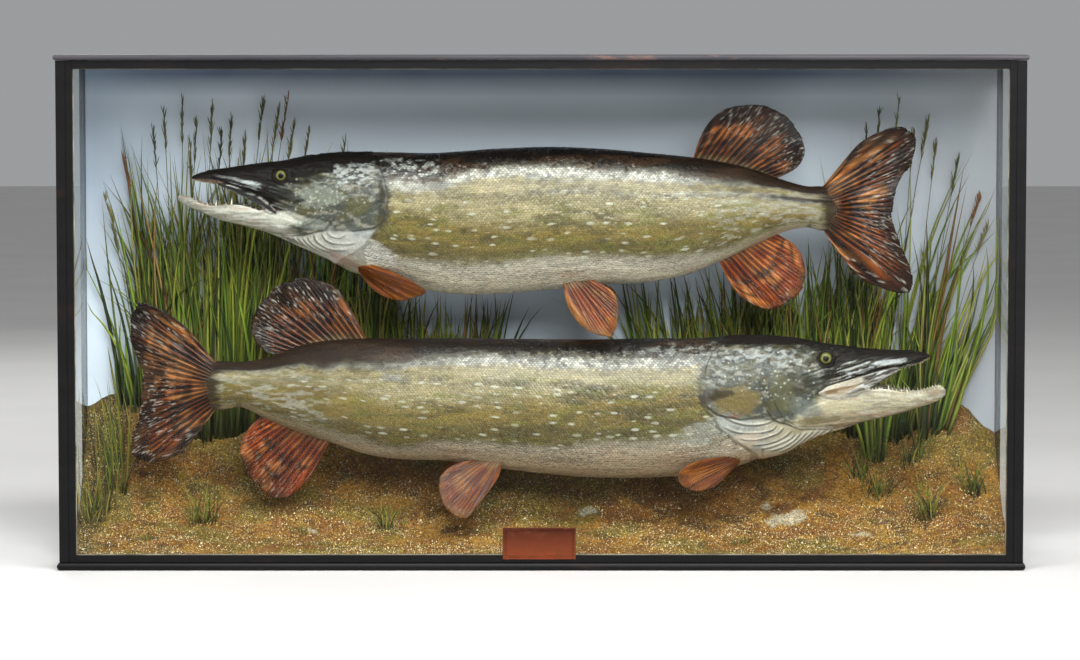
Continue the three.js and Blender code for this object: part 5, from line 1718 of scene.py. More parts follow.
def fin_piece(pike, name, side, material, seed):
    """A fin with real rays: each splits twice on its way to the ragged edge."""
    fin = pike["fins"][name]
    paired = "spread" in fin
    across, along = (round(pike["fin_detail"] * n) for n in (PAIRED_MESH if paired else MEDIAN_MESH))
    u, root_share, edge_share = fin_shares(fin, across)
    root = on_line(line_through(fin["root"])[0], root_share)
    edge = on_line(line_through(fin["edge"])[0], edge_share)
    v = np.linspace(0, 1, along)[:, None]
    u = u[None, :] + 0 * v
    v = v + 0 * u
    place = u * fin["rays"]
    ray = ray_lines(place, v)
    tips = np.random.default_rng(seed).uniform(0, 1, fin["rays"] + 1)
    tip = tips[np.clip(place.astype(int), 0, fin["rays"] - 1)]

    length = np.linalg.norm(edge - root, axis=1)[None, :]
    notch = smooth(0.72, 1.0, v) * ((1 - ray) * 0.016 + 0.03 * tip) * (0.5 if name == "pectoral" else 1.0)
    reach = v * (1 - notch)
    flat = root[None] * (1 - reach[..., None]) + edge[None] * reach[..., None]
    bend = 3.2 * np.sin(place * 0.55 + seed) * v**1.5 + 1.0 * np.sin(place * 1.7 + 2 * seed) * v**2
    thick = 0.32 + 0.25 * (1 - v) + RAY_HEIGHT * ray * (1 - 0.55 * v)
    thick = thick * smooth(1.03, 0.97, v) + 0.12
    thick += fin.get("stout", 0) * smooth(0.32, 0.0, v) * smooth(0, 0.2, u) * smooth(1, 0.8, u)
    joints = 0.06 * np.sin(reach * length * 2.4) * ray * smooth(0.3, 0.5, v)

    root_y = np.maximum(9.0, flank_at(pike, root[:, 0], root[:, 1]) - 5.0)[None, :] if paired else 0.0
    middle = side * (root_y + fin.get("spread", 0) * reach * length) + bend * (0.5 if paired else 1.0)
    points = [
        np.stack([flat[..., 0], middle + face * (thick + joints), flat[..., 1]], axis=-1).reshape(-1, 3)
        for face in (1, -1)
    ]
    one = grid_faces(along, across)
    rim = grid_rim(along, across)
    follow = np.roll(rim, -1)
    total = across * along
    edge_faces = np.stack([rim, follow, follow + total, rim + total], axis=1)
    faces = np.vstack([one[:, ::-1], one + total, edge_faces])

    colour = fin_colour(fin["kind"], fin.get("shade", 1.0), place, v, ray, u, seed)
    mesh = new_mesh(f"{pike['name']}_{name}_fin_mesh", to_world(pike, np.vstack(points)), faces)
    set_colours(mesh, np.vstack([colour, colour]))
    label = {1: "_right", -1: "_left", 0: ""}[side]
    replaces = [f"pike_{name}_fin{label}"] if pike["in_full"] else ()
    new_piece(f"{pike['name']}_{name}_fin_rays{label}", mesh, material, replaces)


def fin_pieces(pike, material):
    """The three fins of the middle plane, then the two pairs."""
    seed = pike["seed"]
    for name in ("dorsal", "anal", "caudal"):
        fin_piece(pike, name, 0, material, seed)
        seed += 10
    for name in ("pectoral", "pelvic"):
        for side in (1, -1):
            fin_piece(pike, name, side, material, seed)
            seed += 10


def build_pike(pike, materials):
    """All the pieces of one fish."""
    girth = Girth(pike)
    seed = pike["seed"]
    skin_piece(pike, girth, materials["skin"])
    for part in SCALE_PARTS:
        scales_piece(pike, girth, materials["skin"], seed + 2 + part[1], part)
    eye_pieces(pike, materials["eye"])
    teeth_piece(pike, materials["tooth"], seed + 4)
    fin_pieces(pike, materials["fin"])


# ---------------------------------------------------------------- camera, light and floor

PICTURE_WIDTH, FOCAL_LENGTH = 1080, 3905.0  # both in the picture's pixels
SENSOR = 36.0
CAMERA_AT = Vector((-0.0015, -5.131, 0.6695))
CAMERA_PITCH = math.radians(4.113)
# Soft lamps: place, height aimed at above the middle of the case, size and power in watts.
LAMPS = {
    "key": ((0.7, -3.2, 1.95), 0.33, (2.2, 1.1), 104),
    "overhead": ((0.2, -1.38, 2.35), 0.35, (2.4, 0.6), 84),
    "fill": ((-2.6, -2.6, 1.3), 0.3, (1.6, 1.6), 20),
    "behind": ((-1.5, 2.8, 2.2), 0.3, (2.4, 1.4), 40),
}
ROOM_TONE, ROOM_LIGHT = "#d8d9db", 0.48
FLOOR = 14.0  # from the floor's middle to its sides, in metres


def add_camera():
    lens = bpy.data.cameras.new("camera")
    lens.sensor_width = SENSOR
    lens.lens = FOCAL_LENGTH / PICTURE_WIDTH * SENSOR
    camera = bpy.data.objects.new("camera", lens)
    camera.location = CAMERA_AT
    camera.rotation_euler = (math.pi / 2 - CAMERA_PITCH, 0, 0)
    bpy.context.scene.collection.objects.link(camera)
    bpy.context.scene.camera = camera


def add_light(name, place, target, size, power):
    light = bpy.data.lights.new(name, "AREA")
    light.shape = "RECTANGLE"
    light.size, light.size_y = size
    light.energy = power
    lamp = bpy.data.objects.new(name, light)
    lamp.location = place
    lamp.rotation_euler = (Vector(target) - Vector(place)).to_track_quat("-Z", "Y").to_euler()
    bpy.context.scene.collection.objects.link(lamp)


def add_lights():
    for name, (place, aim, size, power) in LAMPS.items():
        add_light(name, place, (0, 0, aim), size, power)
    world = bpy.data.worlds.new("studio")
    world.use_nodes = True
    world.node_tree.nodes["Background"].inputs["Color"].default_value = (*linear(ROOM_TONE), 1)
    world.node_tree.nodes["Background"].inputs["Strength"].default_value = ROOM_LIGHT
    bpy.context.scene.world = world


def add_floor():
    corners = [(-FLOOR, -FLOOR, 0), (FLOOR, -FLOOR, 0), (FLOOR, FLOOR, 0), (-FLOOR, FLOOR, 0)]
    mesh = new_mesh("floor", corners, [[0, 1, 2, 3]])
    shader = Shader("floor_paint")
    base = shader.mix(shader.ramp(shader.noise(3, 3), 0.3, 0.7), "#d2d1cf", "#cccbc9")
    mesh.materials.append(shader.done(Base_Color=base, Roughness=0.7))
    floor = bpy.data.objects.new("floor", mesh)
    bpy.context.scene.collection.objects.link(floor)
    floor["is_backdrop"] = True


# ---------------------------------------------------------------- the case


def wood_material(name="ebonised_wood", highlight_lift=1.0):
    """Ebonised wood: satin black with fine grain, and a reddish brown where it is worn. Its tones can be
    lifted all over for a painted highlight, as on the lid.
    """
    shader = Shader(name)
    grain = shader.noise(60, 4, (0.06, 1, 1), 0.6)
    upright = shader.noise(60, 4, (1, 1, 0.06), 0.6)
    dark, light, worn_tone = (linear(c) * highlight_lift for c in ("#070708", "#0e0d0e", "#1c120e"))
    tone = shader.mix(shader.ramp(grain, 0.35, 0.7), (*dark, 1), (*light, 1))
    worn = shader.ramp(shader.noise(26, 5, (0.3, 1, 1), 0.7), 0.60, 0.72)
    tone = shader.mix(worn, tone, (*worn_tone, 1))
    normal = shader.bump(grain, 0.0006, 0.35)
    normal = shader.bump(upright, 0.0005, 0.3, normal)
    return shader.done(Base_Color=tone, Roughness=0.42, Normal=normal, Specular_IOR_Level=0.16)


def back_wood_material():
    """Stained pine of the back board, which only shows from behind."""
    shader = Shader("stained_pine")
    rings = shader.noise(22, 5, (0.05, 1, 1), 0.6)
    tone = shader.mix(shader.ramp(rings, 0.3, 0.7), "#4a3524", "#6e5238")
    grain = shader.noise(240, 4, (0.03, 1, 1), 0.7)
    tone = shader.mix(shader.ramp(grain, 0.55, 0.68, 0.0, 0.55), tone, "#33241a")
    stain = shader.ramp(shader.noise(5, 4, (1, 1, 1), 0.6), 0.55, 0.72, 0.0, 0.4)
    tone = shader.mix(stain, tone, "#2b1f17")
    normal = shader.bump(rings, 0.0008, 0.4)
    normal = shader.bump(grain, 0.0005, 0.4, normal)
    return shader.done(Base_Color=tone, Roughness=0.75, Normal=normal)


def backdrop_material():
    """Distemper on board: milky blue, paler higher up and greyer on the right, with a painted shadow of the
    lid as a slate band along the top and painted shade high on the left.
    """
    shader = Shader("painted_backdrop")
    where = shader.add("SeparateXYZ", {0: shader.place()})
    across, rise = where.outputs[0], where.outputs[2]
    low = shader.mix(shader.ramp(across, -0.62, 0.3), "#dbe6f4", "#c9d3e2")
    tone = shader.mix(shader.ramp(rise, 0.18, 0.56), low, "#eaf3ff")
    # Painted shadow: the slate band along the very top stands for the lid's shadow.
    tone = shader.mix(shader.ramp(rise, 0.606, 0.636), tone, "#626f88")
    cloud = shader.ramp(shader.noise(3.2, 4, (1, 1, 1.6), 0.55), 0.3, 0.7)
    tone = shader.mix(shader.math("MULTIPLY", cloud, 0.2), tone, "#cfd6e0")
    # Painted shade high on the left side.
    shade_high_left = shader.math("MULTIPLY", shader.ramp(across, -0.42, -0.60), shader.ramp(rise, 0.30, 0.50))
    tone = shader.mix(shader.math("MULTIPLY", shade_high_left, 0.7), tone, "#8491a5")
    tone = shader.mix(shader.ramp(across, 0.36, 0.60, 0.0, 0.85), tone, "#9c9ca0")
    brush = shader.noise(120, 3, (0.15, 1, 1), 0.6)
    normal = shader.bump(brush, 0.0004, 0.25)
    return shader.done(Base_Color=tone, Roughness=0.8, Normal=normal, Specular_IOR_Level=0.2)


def glass_material():
    """Old window glass: clear, with a faint reflection, and it lets lamps through."""
    shader = Shader("window_glass")
    clear = shader.add("BsdfTransparent", {"Color": (0.955, 0.97, 0.965, 1)})
    gloss = shader.add("BsdfGlossy", {"Color": (1, 1, 1, 1), "Roughness": 0.03})
    fresnel = shader.add("Fresnel", {"IOR": 1.15}).outputs[0]
    entering = shader.math("SUBTRACT", 1.0, shader.add("NewGeometry").outputs["Backfacing"])
    mirrored = shader.math("MULTIPLY", fresnel, entering)
    both = shader.add("MixShader", {0: mirrored, 1: clear.outputs[0], 2: gloss.outputs[0]})
    output = shader.tree.nodes["Material Output"]
    shader.tree.links.new(both.outputs[0], output.inputs["Surface"])
    shader.tree.nodes.remove(shader.surface)
    return shader.material


def copper_material():
    """Aged copper sheet, darker and browner towards its top edge."""
    shader = Shader("aged_copper")
    where = shader.add("SeparateXYZ", {0: shader.place()})
    rise = shader.ramp(where.outputs[2], 0.014, 0.056)
    cloud = shader.noise(90, 4, (1, 1, 1.4), 0.65)
    tone = shader.mix(rise, "#8a4428", "#431f14")
    tone = shader.mix(shader.ramp(cloud, 0.45, 0.75), tone, "#683624")
    rough = shader.ramp(cloud, 0.3, 0.7, 0.32, 0.5)
    normal = shader.bump(cloud, 0.0002, 0.4)
    return shader.done(Base_Color=tone, Metallic=0.85, Roughness=rough, Normal=normal)


BEVEL = 0.0012  # width of the mouldings' softened edges, in metres


def bevelled(node, material):
    """A moulding with the shape of its node and softened edges."""
    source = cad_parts[node]
    work = bmesh.new()
    work.from_mesh(source.data)
    bmesh.ops.dissolve_limit(work, angle_limit=0.02, verts=work.verts[:], edges=work.edges[:])
    sharp = [edge for edge in work.edges if edge.calc_face_angle(0) > 0.6]
    bmesh.ops.bevel(work, geom=sharp, offset=BEVEL, segments=3, affect="EDGES", clamp_overlap=True)
    mesh = bpy.data.meshes.new(node + "_softened")
    work.to_mesh(mesh)
    work.free()
    new_piece(node + "_softened", mesh, material, [node])
    mesh.set_sharp_from_angle(angle=math.radians(35))


def nested_frame(box, rows):
    """Rectangles stepped in from a box seen from the front: rows of inset and depth behind its face."""
    (x0, front, z0), (x1, _, z1) = box
    rings = []
    for inset, depth in rows:
        left, right, low, high = x0 + inset, x1 - inset, z0 + inset, z1 - inset
        y = front + depth
        rings.append([(left, y, low), (left, y, high), (right, y, high), (right, y, low)])
    return np.array(rings)


def build_plaque(material):
    """A copper plate with softened edges and a plain border of two engraved lines."""
    low, high = (np.array(corner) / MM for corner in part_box("plaque"))
    rows = [(0.0, high[1] - low[1]), (0.0, 0.5), (0.15, 0.15), (0.5, 0.0)]
    for line in (2.6, 4.2):
        rows += [(line, 0.0), (line + 0.2, 0.35), (line + 0.5, 0.35), (line + 0.7, 0.0)]
    points, faces = loft(nested_frame((low, high), rows))
    mesh = new_mesh("engraved_plaque", points * MM, faces)
    new_piece("engraved_plaque", mesh, material, ["plaque"], smooth_faces=False)


SLIP_GAP = 0.4  # between the front pane and the slip behind it, in millimetres
# The slip's section: how far in from the frame's opening and how far back, in millimetres.
SLIP_ROWS = [(-1.0, 0.0), (0.7, 0.0), (0.9, 0.2), (0.7, 0.5), (-1.0, 0.5)]
LID_HIGHLIGHT_LIFT = 16.0  # how much lighter the lid's wood is painted: a painted highlight for the light along its top edge


def build_slips():
    """The pale edge of paper and putty that shows round the inside of the front pane."""
    shader = Shader("aged_paper_slip")
    stain = shader.ramp(shader.noise(30, 4, (1, 1, 1), 0.6), 0.35, 0.65)
    tone = shader.mix(stain, "#a39a86", "#5a5347")
    material = shader.done(Base_Color=tone, Roughness=0.7, Normal=shader.bump(stain, 0.0003, 0.4))
    pane = [np.array(corner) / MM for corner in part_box("glass_front")]
    left, right = (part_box(f"post_front_{side}") for side in ("left", "right"))
    low_rail, high_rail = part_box("rail_front_bottom"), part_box("rail_front_top")
    x0, x1 = left[1][0] / MM, right[0][0] / MM
    z0, z1 = low_rail[1][2] / MM, high_rail[0][2] / MM
    back = pane[1][1] + SLIP_GAP
    points = nested_frame(((x0, back, z0), (x1, back, z1)), SLIP_ROWS).reshape(-1, 3)
    faces = grid_faces(len(SLIP_ROWS), 4, closed=True).tolist()
    last = 4 * (len(SLIP_ROWS) - 1)
    faces += [[i, (i + 1) % 4, last + (i + 1) % 4, last + i] for i in range(4)]
    mesh = new_mesh("glass_paper_slip", points * MM, faces)
    new_piece("glass_paper_slip", mesh, material, smooth_faces=False)


def build_case():
    """Softened mouldings, the plaque and slip, and paint on the nodes that stay."""
    wood = wood_material()
    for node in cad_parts:
        if node.startswith(("post_", "rail_")):
            bevelled(node, wood)
    build_plaque(copper_material())
    build_slips()
    paints = {
        "base_board": wood,
        # The lid's wood is painted lighter all over, a painted highlight for the light its top edge catches.
        "top_board": wood_material("lid_wood_painted_highlight", LID_HIGHLIGHT_LIFT),
        "back_board": back_wood_material(),
        "backdrop": backdrop_material(),
    }
    glass = glass_material()
    steel = Shader("painted_rod")
    tone = steel.mix(steel.ramp(steel.noise(200, 2), 0.4, 0.6), "#6f7a88", "#5c6673")
    rod = steel.done(Base_Color=tone, Roughness=0.5, Metallic=0.3)
    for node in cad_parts:
        if node.startswith("glass_"):
            paints[node] = glass
        elif node.startswith("rod_"):
            paints[node] = rod
    for node, material in paints.items():
        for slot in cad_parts[node].material_slots:
            slot.material = material


# ---------------------------------------------------------------- groundwork

# The inside of the case: half its width, and its front and back, in millimetres.
ROOM_SIDE, ROOM_BACK = (round(value / MM, 1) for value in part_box("groundwork")[1].xy)
ROOM_FRONT = round(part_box("glass_front")[1][1] / MM, 1)
# The groundwork's height in front, its even rise and its steeper sweep up at the back.
GROUND_FRONT, GROUND_RISE, GROUND_SWEEP = 19.0, 20.0, 112.0
MOUNDS = [(-555, 85, 62), (-330, 110, 18), (395, 70, 24), (548, 50, 43)]  # x, spread, height


def ground_at(x, y):
    """Height of the groundwork, in millimetres, as in the solids."""
    t = (y - ROOM_FRONT) / (ROOM_BACK - ROOM_FRONT)
    z = GROUND_FRONT + GROUND_RISE * t + GROUND_SWEEP * np.clip(t, 0, 1) ** 3
    for middle, spread, height in MOUNDS:
        z = z + height * t * t * np.exp(-(((x - middle) / spread) ** 2))
    return z + 5 * t * np.sin(x / 47 + 3 * t) + 3.5 * t * np.sin(x / 21 - 5 * t)


# Lumps of each size: their spacing, seed, layers of noise and height.
LUMPS = [((58, 44), 41, 3, 14), ((13, 11), 44, 3, 6.5), ((4.5, 4.5), 47, 2, 2.6)]


def lumps(x, y):
    """The modelled unevenness on top of that, in millimetres."""
    at = np.stack([x, y], axis=1)
    t = (y - ROOM_FRONT) / (ROOM_BACK - ROOM_FRONT)
    total = sum(height * wavering(at, cell, seed, layers) for cell, seed, layers, height in LUMPS)
    return total * smooth(-0.05, 0.25, t)


def surface_at(x, y):
    """Height of the modelled groundwork at one point, in millimetres."""
    x, y = np.array([x]), np.array([y])
    return float((ground_at(x, y) + lumps(x, y))[0])


OCHRE = linear("#835612")
SAND = linear("#a07020")
UMBER = linear("#4a3010")
MOSS = linear("#6b601a")
STONE = linear("#c6c0a8")
RUST = linear("#7f4a16")
BANK_SHADE = linear("#54431a")
# Patches on the ochre: colour, share, spacing, seed and layers of the noise, and where it sets in.
GROUND_PATCHES = [
    (SAND, 1.0, (52, 34), 51, 3, 0.42, 0.66), (UMBER, 0.75, (26, 18), 54, 4, 0.54, 0.70),
    (MOSS, 0.65, (80, 44), 57, 4, 0.50, 0.66), (RUST, 0.6, (34, 24), 59, 3, 0.54, 0.70),
]
# Where whitish patches show through the ground: x, y, half width and half depth.
BARE_PATCHES = [(64, 28, 13, 9), (327, -2, 30, 14), (300, 30, 9, 6), (-300, -30, 9, 6), (420, -40, 16, 7)]
# The bank behind the tail, painted darker as painted shade on its left face, which ends at this line across
# the ground.
BANK_EDGE = [(-545, 118), (-562, 60), (-572, 10), (-585, -60)]


def ground_colour(x, y):
    """Colours of the groundwork at many x and y, in millimetres."""
    at = np.stack([x, y], axis=1)
    colour = np.tile(OCHRE, (len(x), 1))
    for tone, share, cell, seed, layers, low, high in GROUND_PATCHES:
        colour = blend(colour, tone, patchy(at, cell, seed, low, high, layers) * share)
    torn = wavering(at, (9, 8), 61, 4)
    for middle, deep, wide, long in BARE_PATCHES:
        away = np.hypot((x - middle) / wide, (y - deep) / long)
        colour = blend(colour, STONE, smooth(1.1, 0.6, away + 1.5 * torn) * 0.7)
    edge = np.interp(y, *np.array(BANK_EDGE[::-1])[:, ::-1].T)
    # Painted shade on the bank's left face.
    colour = blend(colour, BANK_SHADE, smooth(6, -6, x - edge + 14 * torn) * 0.85)
    # Painted shadow of the fish on the ground behind them.
    shadow_under_fish = bell(y - 52, 34) * smooth(-0.45, -0.2, x / 1000) * smooth(0.44, 0.30, x / 1000)
    colour = blend(colour, UMBER, shadow_under_fish * 0.15)
    return colour * (0.6 + 0.8 * rough_noise(at, (3.0, 3.0), 60, 2))[:, None]


def ground_material():
    """Sanded groundwork: dark and light grit, ochre crumbs and pale sparkles."""
    shader = Shader("sanded_groundwork")
    grit = shader.noise(330, 4, (1, 1, 1), 0.8)
    shade = shader.ramp(grit, 0.38, 0.62, 0.25, 1.5)
    base = shader.shaded(shade)
    crumb = shader.ramp(shader.cells(240), 0.30, 0.18)
    crowd = shader.ramp(shader.noise(70, 2), 0.44, 0.58)
    base = shader.mix(shader.math("MULTIPLY", crumb, crowd), base, "#bb944a")
    sparkle = shader.ramp(shader.cells(400), 0.26, 0.16)
    pale = shader.math("MULTIPLY", sparkle, shader.ramp(shader.noise(40, 2), 0.46, 0.6))
    base = shader.mix(shader.math("MULTIPLY", pale, 0.75), base, "#e8dcb8")
    normal = shader.bump(grit, 0.0022, 1.0)
    return shader.done(Base_Color=base, Roughness=0.8, Normal=normal)


def build_ground():
    """The groundwork: a fine lumpy top, closed down to the base board."""
    columns, rows = 490, 112
    x = np.linspace(-ROOM_SIDE + 0.5, ROOM_SIDE - 0.5, columns)
    y = np.linspace(ROOM_FRONT + 0.5, ROOM_BACK - 0.5, rows)
    across, deep = (a.ravel() for a in np.meshgrid(x, y))
    top = np.stack([across, deep, ground_at(across, deep) + lumps(across, deep)], axis=1)
    rim = grid_rim(rows, columns)
    floor = top[rim] * [1, 1, 0] + [0, 0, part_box("groundwork")[0][2] / MM]
    faces = grid_faces(rows, columns).tolist()
    first = len(top)
    size = len(rim)
    faces += [[rim[(i + 1) % size], rim[i], first + i, first + (i + 1) % size] for i in range(size)]
    faces.append([first + i for i in range(size)][::-1])
    points = np.vstack([top, floor])
    mesh = new_mesh("sanded_ground", points * MM, [[int(i) for i in face] for face in faces])
    set_colours(mesh, np.vstack([ground_colour(across, deep), ground_colour(*top[rim, :2].T)]))
    new_piece("sanded_ground", mesh, ground_material(), ["groundwork"])


GRAINS = 40000
# The grains' colours and the share of each.
GRIT_TONES = {"#e3d6ae": 0.16, "#b0904e": 0.26, "#d2b565": 0.22, "#4f3714": 0.20, "#8a6a30": 0.16}


def build_grit():
    """Loose grains glued to the groundwork: pale quartz, ochre crumbs and dark specks."""
    draw = np.random.default_rng(71)
    count = GRAINS
    x = draw.uniform(-ROOM_SIDE + 4, ROOM_SIDE - 4, count)
    y = ROOM_FRONT + 3 + (ROOM_BACK - ROOM_FRONT - 8) * draw.uniform(0, 1, count)
    crowd = rough_noise(np.stack([x, y], axis=1), (60, 40), 72)
    keep = draw.uniform(0, 1, count) < smooth(0.30, 0.62, crowd) * 0.8 + 0.2
    x, y = x[keep], y[keep]
    count = len(x)
    size = draw.uniform(0.5, 1.25, count) * np.where(draw.uniform(0, 1, count) < 0.07, 1.7, 1)
    centre = np.stack([x, y, ground_at(x, y) + lumps(x, y) + size * 0.2], axis=1)
    corner = np.array([(1, 0, -0.4), (-0.5, 0.87, -0.4), (-0.5, -0.87, -0.4), (0, 0, 0.9)])
    jitter = draw.uniform(0.65, 1.25, (count, 4, 1))
    turn = draw.uniform(0, 2 * math.pi, count)
    spun = corner[None] * jitter * size[:, None, None]
    c, s = np.cos(turn)[:, None], np.sin(turn)[:, None]
    x, y, z = np.moveaxis(spun, -1, 0)
    spun = np.stack([x * c - y * s, x * s + y * c, z], axis=-1)
    points = (centre[:, None] + spun).reshape(-1, 3)
    one = np.array([(0, 1, 3), (1, 2, 3), (2, 0, 3), (0, 2, 1)])
    faces = (one[None] + (np.arange(count) * 4)[:, None, None]).reshape(-1, 3)
    tones = np.array([linear(tone) for tone in GRIT_TONES])
    colour = tones[draw.choice(len(tones), count, p=list(GRIT_TONES.values()))]
    mesh = new_mesh("loose_grit", points * MM, faces)
    set_colours(mesh, np.repeat(colour, 4, axis=0))
    shader = Shader("grit_stone")
    shade = shader.ramp(shader.noise(900, 2), 0.3, 0.7, 0.8, 1.15)
    base = shader.shaded(shade)
    material = shader.done(Base_Color=base, Roughness=0.4)
    new_piece("loose_grit", mesh, material, smooth_faces=False)


# ---------------------------------------------------------------- reeds

# Clumps: middle and half width along X, nearest and furthest Y, number of blades, lowest and
# highest tips above the floor of the case, and the lean of the blades at its two ends.
CLUMPS = [
    {"x": -532, "half": 36, "y": (104, 118), "count": 40, "tips": (260, 480), "lean": (-0.16, -0.02)},
    {"x": -452, "half": 72, "y": (108, 119), "count": 320, "tips": (380, 580), "lean": (-0.14, 0.08)},
    {"x": -320, "half": 90, "y": (110, 119), "count": 330, "tips": (350, 560), "lean": (-0.10, 0.12)},
    {"x": -155, "half": 88, "y": (110, 119), "count": 240, "tips": (300, 372), "lean": (-0.12, 0.12)},
    {"x": 225, "half": 66, "y": (110, 119), "count": 190, "tips": (300, 400), "lean": (-0.28, 0.06)},
    {"x": 345, "half": 85, "y": (110, 119), "count": 300, "tips": (320, 430), "lean": (-0.12, 0.12)},
    {"x": 458, "half": 56, "y": (106, 119), "count": 120, "tips": (300, 570), "lean": (-0.04, 0.24)},
    {"x": 528, "half": 20, "y": (94, 112), "count": 66, "tips": (240, 480), "lean": (-0.02, 0.42)},
    {"x": 447, "half": 12, "y": (90, 102), "count": 46, "tips": (240, 300), "lean": (-0.16, 0.16)},
]
# Flowering stems: x of the root, tip's x and height above the case's floor.
SEED_STEMS = [
    (-500, -520, 560), (-492, -505, 585), (-484, -480, 600), (-476, -462, 570), (-468, -470, 540),
    (-455, -440, 592), (-446, -428, 560), (-430, -415, 575), (-418, -396, 552), (-405, -372, 600),
    (-398, -350, 588), (-385, -338, 606), (-372, -330, 570), (-350, -310, 560), (-300, -262, 545),
    (-290, -236, 520), (-520, -560, 520), (-530, -585, 470), (-540, -575, 430), (430, 436, 560),
    (446, 452, 585), (462, 470, 540), (480, 500, 560), (500, 530, 545), (516, 560, 520),
    (530, 590, 470), (420, 418, 520), (540, 600, 430), (455, 480, 600), (470, 520, 575),
]
# Tufts of short grass: x, y, number of blades, height and spread.
TUFTS = [
    (-448, -6, 34, 66, 0.9), (-205, -20, 24, 46, 0.8), (512, 0, 30, 74, 0.7), (-562, 30, 24, 120, 0.35),
    (-574, 62, 24, 130, 0.30), (-585, 0, 20, 100, 0.35), (-315, -40, 22, 16, 2.0), (-515, -62, 22, 16, 2.0),
    (262, -58, 24, 16, 2.0), (-590, -20, 20, 60, 0.6), (430, 70, 26, 60, 0.9), (575, 40, 20, 60, 0.8),
    (500, 84, 34, 60, 0.9), (452, 50, 30, 40, 1.2),
]
ROOT_DEPTH = 9.0  # how far blades reach into the groundwork, in millimetres
SHORTEST_BLADE = 60
BENT_SHARE, DRY_SHARE = 0.10, 0.07  # shares of the blades that are bent over, and dry
REED_TONES = [
    linear(c) for c in ("#748a24", "#a2ab3a", "#4a5f1a", "#b8b55a", "#7f9234", "#33441a", "#8fae3a")
]
REED_DRY = [linear(c) for c in ("#8f6a34", "#a8874c", "#7a4c24")]
SEED_TONES = [linear(c) for c in ("#5f5f2e", "#7a7240", "#7c4f2c", "#6a6a3a", "#4c5030")]
TUFT_TINT = (1.05, 0.85, 0.75)  # tufts are browner than reeds
HUSKS = 40  # on each flowering stem


class Blades:
    """Gathers many thin blades into one mesh."""

    STEPS = 9

    def __init__(self):
        self.points, self.faces, self.colours, self.count = [], [], [], 0

    def add(self, root, height, lean, bend, width, tone, dry, twist):
        """One blade: a folded ribbon that leans, bends over towards its tip and tapers."""
        t = np.linspace(0, 1, self.STEPS)
        x = root[0] + height * (lean * t + bend * t**2.6)
        y = root[1] + height * twist * t**2
        z = root[2] + height * t - height * (abs(bend) * 0.55) * t**3
        half = 0.5 * width * np.clip(1.0 - t**3.4, 0.03, 1) * (0.72 + 0.28 * np.minimum(1, t * 6))
        self.ribbon(x, y, z, half, blend(np.tile(tone, (self.STEPS, 1)), dry, smooth(0.78, 1.0, t) * 0.5), t)

    def ribbon(self, x, y, z, half, tones, t):
        """A strip folded along its middle, through points with half widths and colours."""
        y = np.minimum(y, ROOM_BACK - 2.5)
        x = np.clip(x, -ROOM_SIDE + 2, ROOM_SIDE - 2)
        left = np.stack([x - half, y - 0.3 * half, z], axis=1)
        right = np.stack([x + half, y - 0.3 * half, z], axis=1)
        fold = np.stack([x, y + 0.35 * half + 0.25, z], axis=1)
        ring = np.stack([left, right, fold], axis=1).reshape(-1, 3)
        first, steps = self.count, len(x)
        self.faces += grid_faces(steps, 3, closed=True, first=first).tolist()
        last = first + 3 * (steps - 1)
        self.faces += [[first + 2, first + 1, first], [last, last + 1, last + 2]]
        # Painted shade: each blade is darker towards its root; the two halves of its fold and the fold
        # itself differ in lightness.
        edge = np.tile([0.72, 1.12, 0.9], steps)
        shade = np.repeat(0.24 + 0.76 * smooth(0, 0.42, t), 3) * edge
        self.points.append(ring)
        self.colours.append(np.repeat(tones, 3, axis=0) * shade[:, None])
        self.count += len(ring)

    def seed_head(self, draw, root, tip, tone):
        """A thin stem that ends in a narrow, loose spike of husks."""
        t = np.linspace(0, 1, 12)
        x = root[0] + (tip[0] - root[0]) * t**1.8
        z = root[2] + (tip[1] - root[2]) * t
        y = np.full(12, root[1])
        self.ribbon(x, y, z, np.full(12, 0.45), np.tile(tone, (12, 1)), t)
        for _ in range(HUSKS):
            at = draw.uniform(0.87, 1.0)
            start = np.array([np.interp(at, t, x), root[1] + draw.uniform(-3, 3), np.interp(at, t, z)])
            length, lean = draw.uniform(7, 17), draw.gauss(0, 0.15)
            s = np.linspace(0, 1, 4)
            husk = 0.6 * np.array([0.3, 1.0, 0.8, 0.05])
            tones = np.tile(tone * draw.uniform(0.7, 1.5), (4, 1))
            x_husk = start[0] + length * lean * s
            self.ribbon(x_husk, start[1] + 0 * s, start[2] + length * s, husk, tones, np.ones(4))

    def piece(self, name, material, replaces=()):
        mesh = new_mesh(name, np.vstack(self.points) * MM, self.faces)
        set_colours(mesh, np.vstack(self.colours))
        new_piece(name, mesh, material, replaces)


def reed_material():
    """Dried reed with fine streaks along the blade."""
    shader = Shader("dried_reed")
    streak = shader.noise(260, 3, (1, 1, 0.05), 0.6)
    shade = shader.ramp(streak, 0.3, 0.7, 0.7, 1.25)
    base = shader.shaded(shade)
    return shader.done(Base_Color=base, Roughness=0.55, Normal=shader.bump(streak, 0.0005, 0.5))


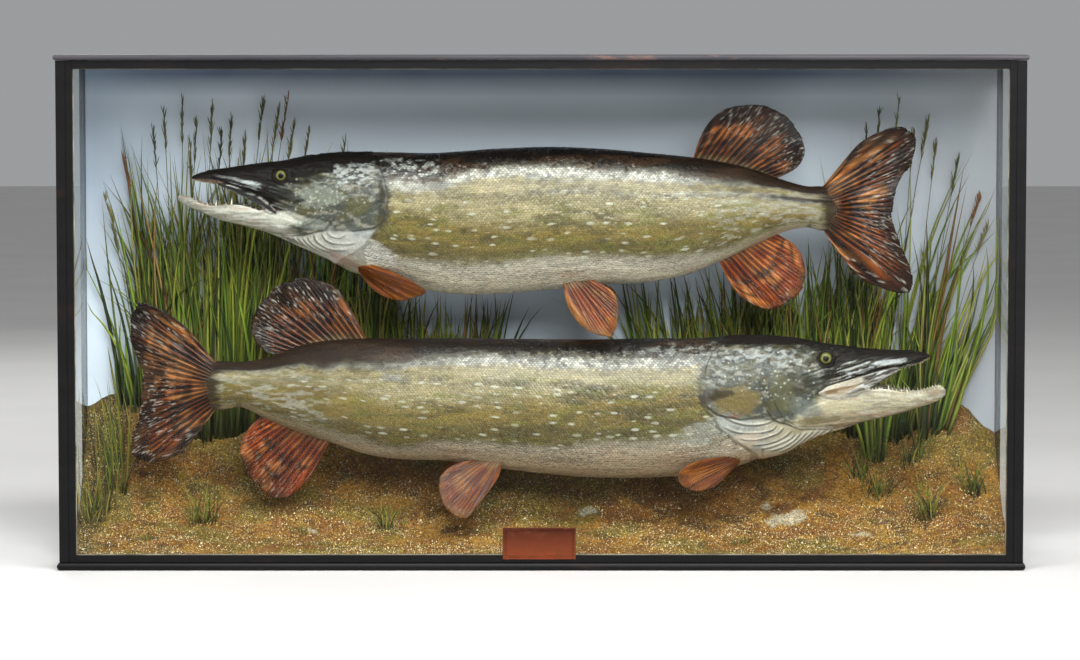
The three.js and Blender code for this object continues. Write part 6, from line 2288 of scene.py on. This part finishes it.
def build_reeds():
    """Clumps of reed along the backdrop, with flowering stems among them."""
    draw = random.Random(83)
    blades = Blades()
    for clump in CLUMPS:
        for _ in range(clump["count"]):
            share = draw.uniform(-1, 1)
            x = clump["x"] + clump["half"] * share
            x = max(-ROOM_SIDE + 8, min(ROOM_SIDE - 8, x))
            y = draw.uniform(*clump["y"])
            z = surface_at(x, y) - ROOT_DEPTH
            low, high = clump["tips"]
            tip = low + (high - low) * draw.random() ** 1.9
            height = max(SHORTEST_BLADE, tip - z)
            left, right = clump["lean"]
            lean = left + (right - left) * (share + 1) / 2 + draw.gauss(0, 0.035)
            bend = draw.gauss(0, 0.10) * (3 if draw.random() < BENT_SHARE else 1)
            tone = draw.choice(REED_DRY if draw.random() < DRY_SHARE else REED_TONES)
            tone = tone * draw.uniform(0.45, 1.25)
            width = draw.uniform(2.2, 5.6)
            dry, twist = draw.choice(REED_DRY), draw.uniform(-0.04, 0.03)
            blades.add((x, y, z), height, lean, bend, width, tone, dry, twist)
    for root_x, tip_x, tip_z in SEED_STEMS:
        root_y = draw.uniform(100, 114)
        root_z = surface_at(root_x, root_y) - ROOT_DEPTH
        blades.seed_head(draw, (root_x, root_y, root_z), (tip_x, tip_z), draw.choice(SEED_TONES))
    blades.piece("reed_blades", reed_material(), [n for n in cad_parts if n.startswith("reeds_")])


def build_tufts():
    """Short grass here and there on the groundwork."""
    draw = random.Random(97)
    blades = Blades()
    for x, y, count, tall, spread in TUFTS:
        for _ in range(count):
            at = (x + draw.gauss(0, 5 + tall * 0.05), y + draw.gauss(0, 4))
            z = surface_at(*at) - 3
            height = tall * draw.uniform(0.5, 1.05)
            lean = draw.gauss(0, 0.35) * spread
            tone = draw.choice(REED_TONES) * draw.uniform(0.4, 0.85) * TUFT_TINT
            width, dry, twist = draw.uniform(0.9, 1.9), draw.choice(REED_TONES), draw.gauss(0, 0.15)
            blades.add((*at, z), height, lean, lean * 0.8, width, tone, dry, twist)
    blades.piece("grass_tufts", reed_material())


# ---------------------------------------------------------------- assembly

add_camera()
add_lights()
add_floor()
build_case()
build_ground()
build_grit()
build_reeds()
build_tufts()

fish = {"skin": skin_material(), "fin": fin_material(), "tooth": tooth_material(), "eye": eye_material()}
for pike in (BIG, SMALL):
    build_pike(pike, fish)

bpy.context.scene.view_settings.view_transform = "Standard"

boxes = {"cad": CAD_BOX, "visual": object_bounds()}
{name: [[float(v) for v in corner] for corner in box] for name, box in boxes.items()}
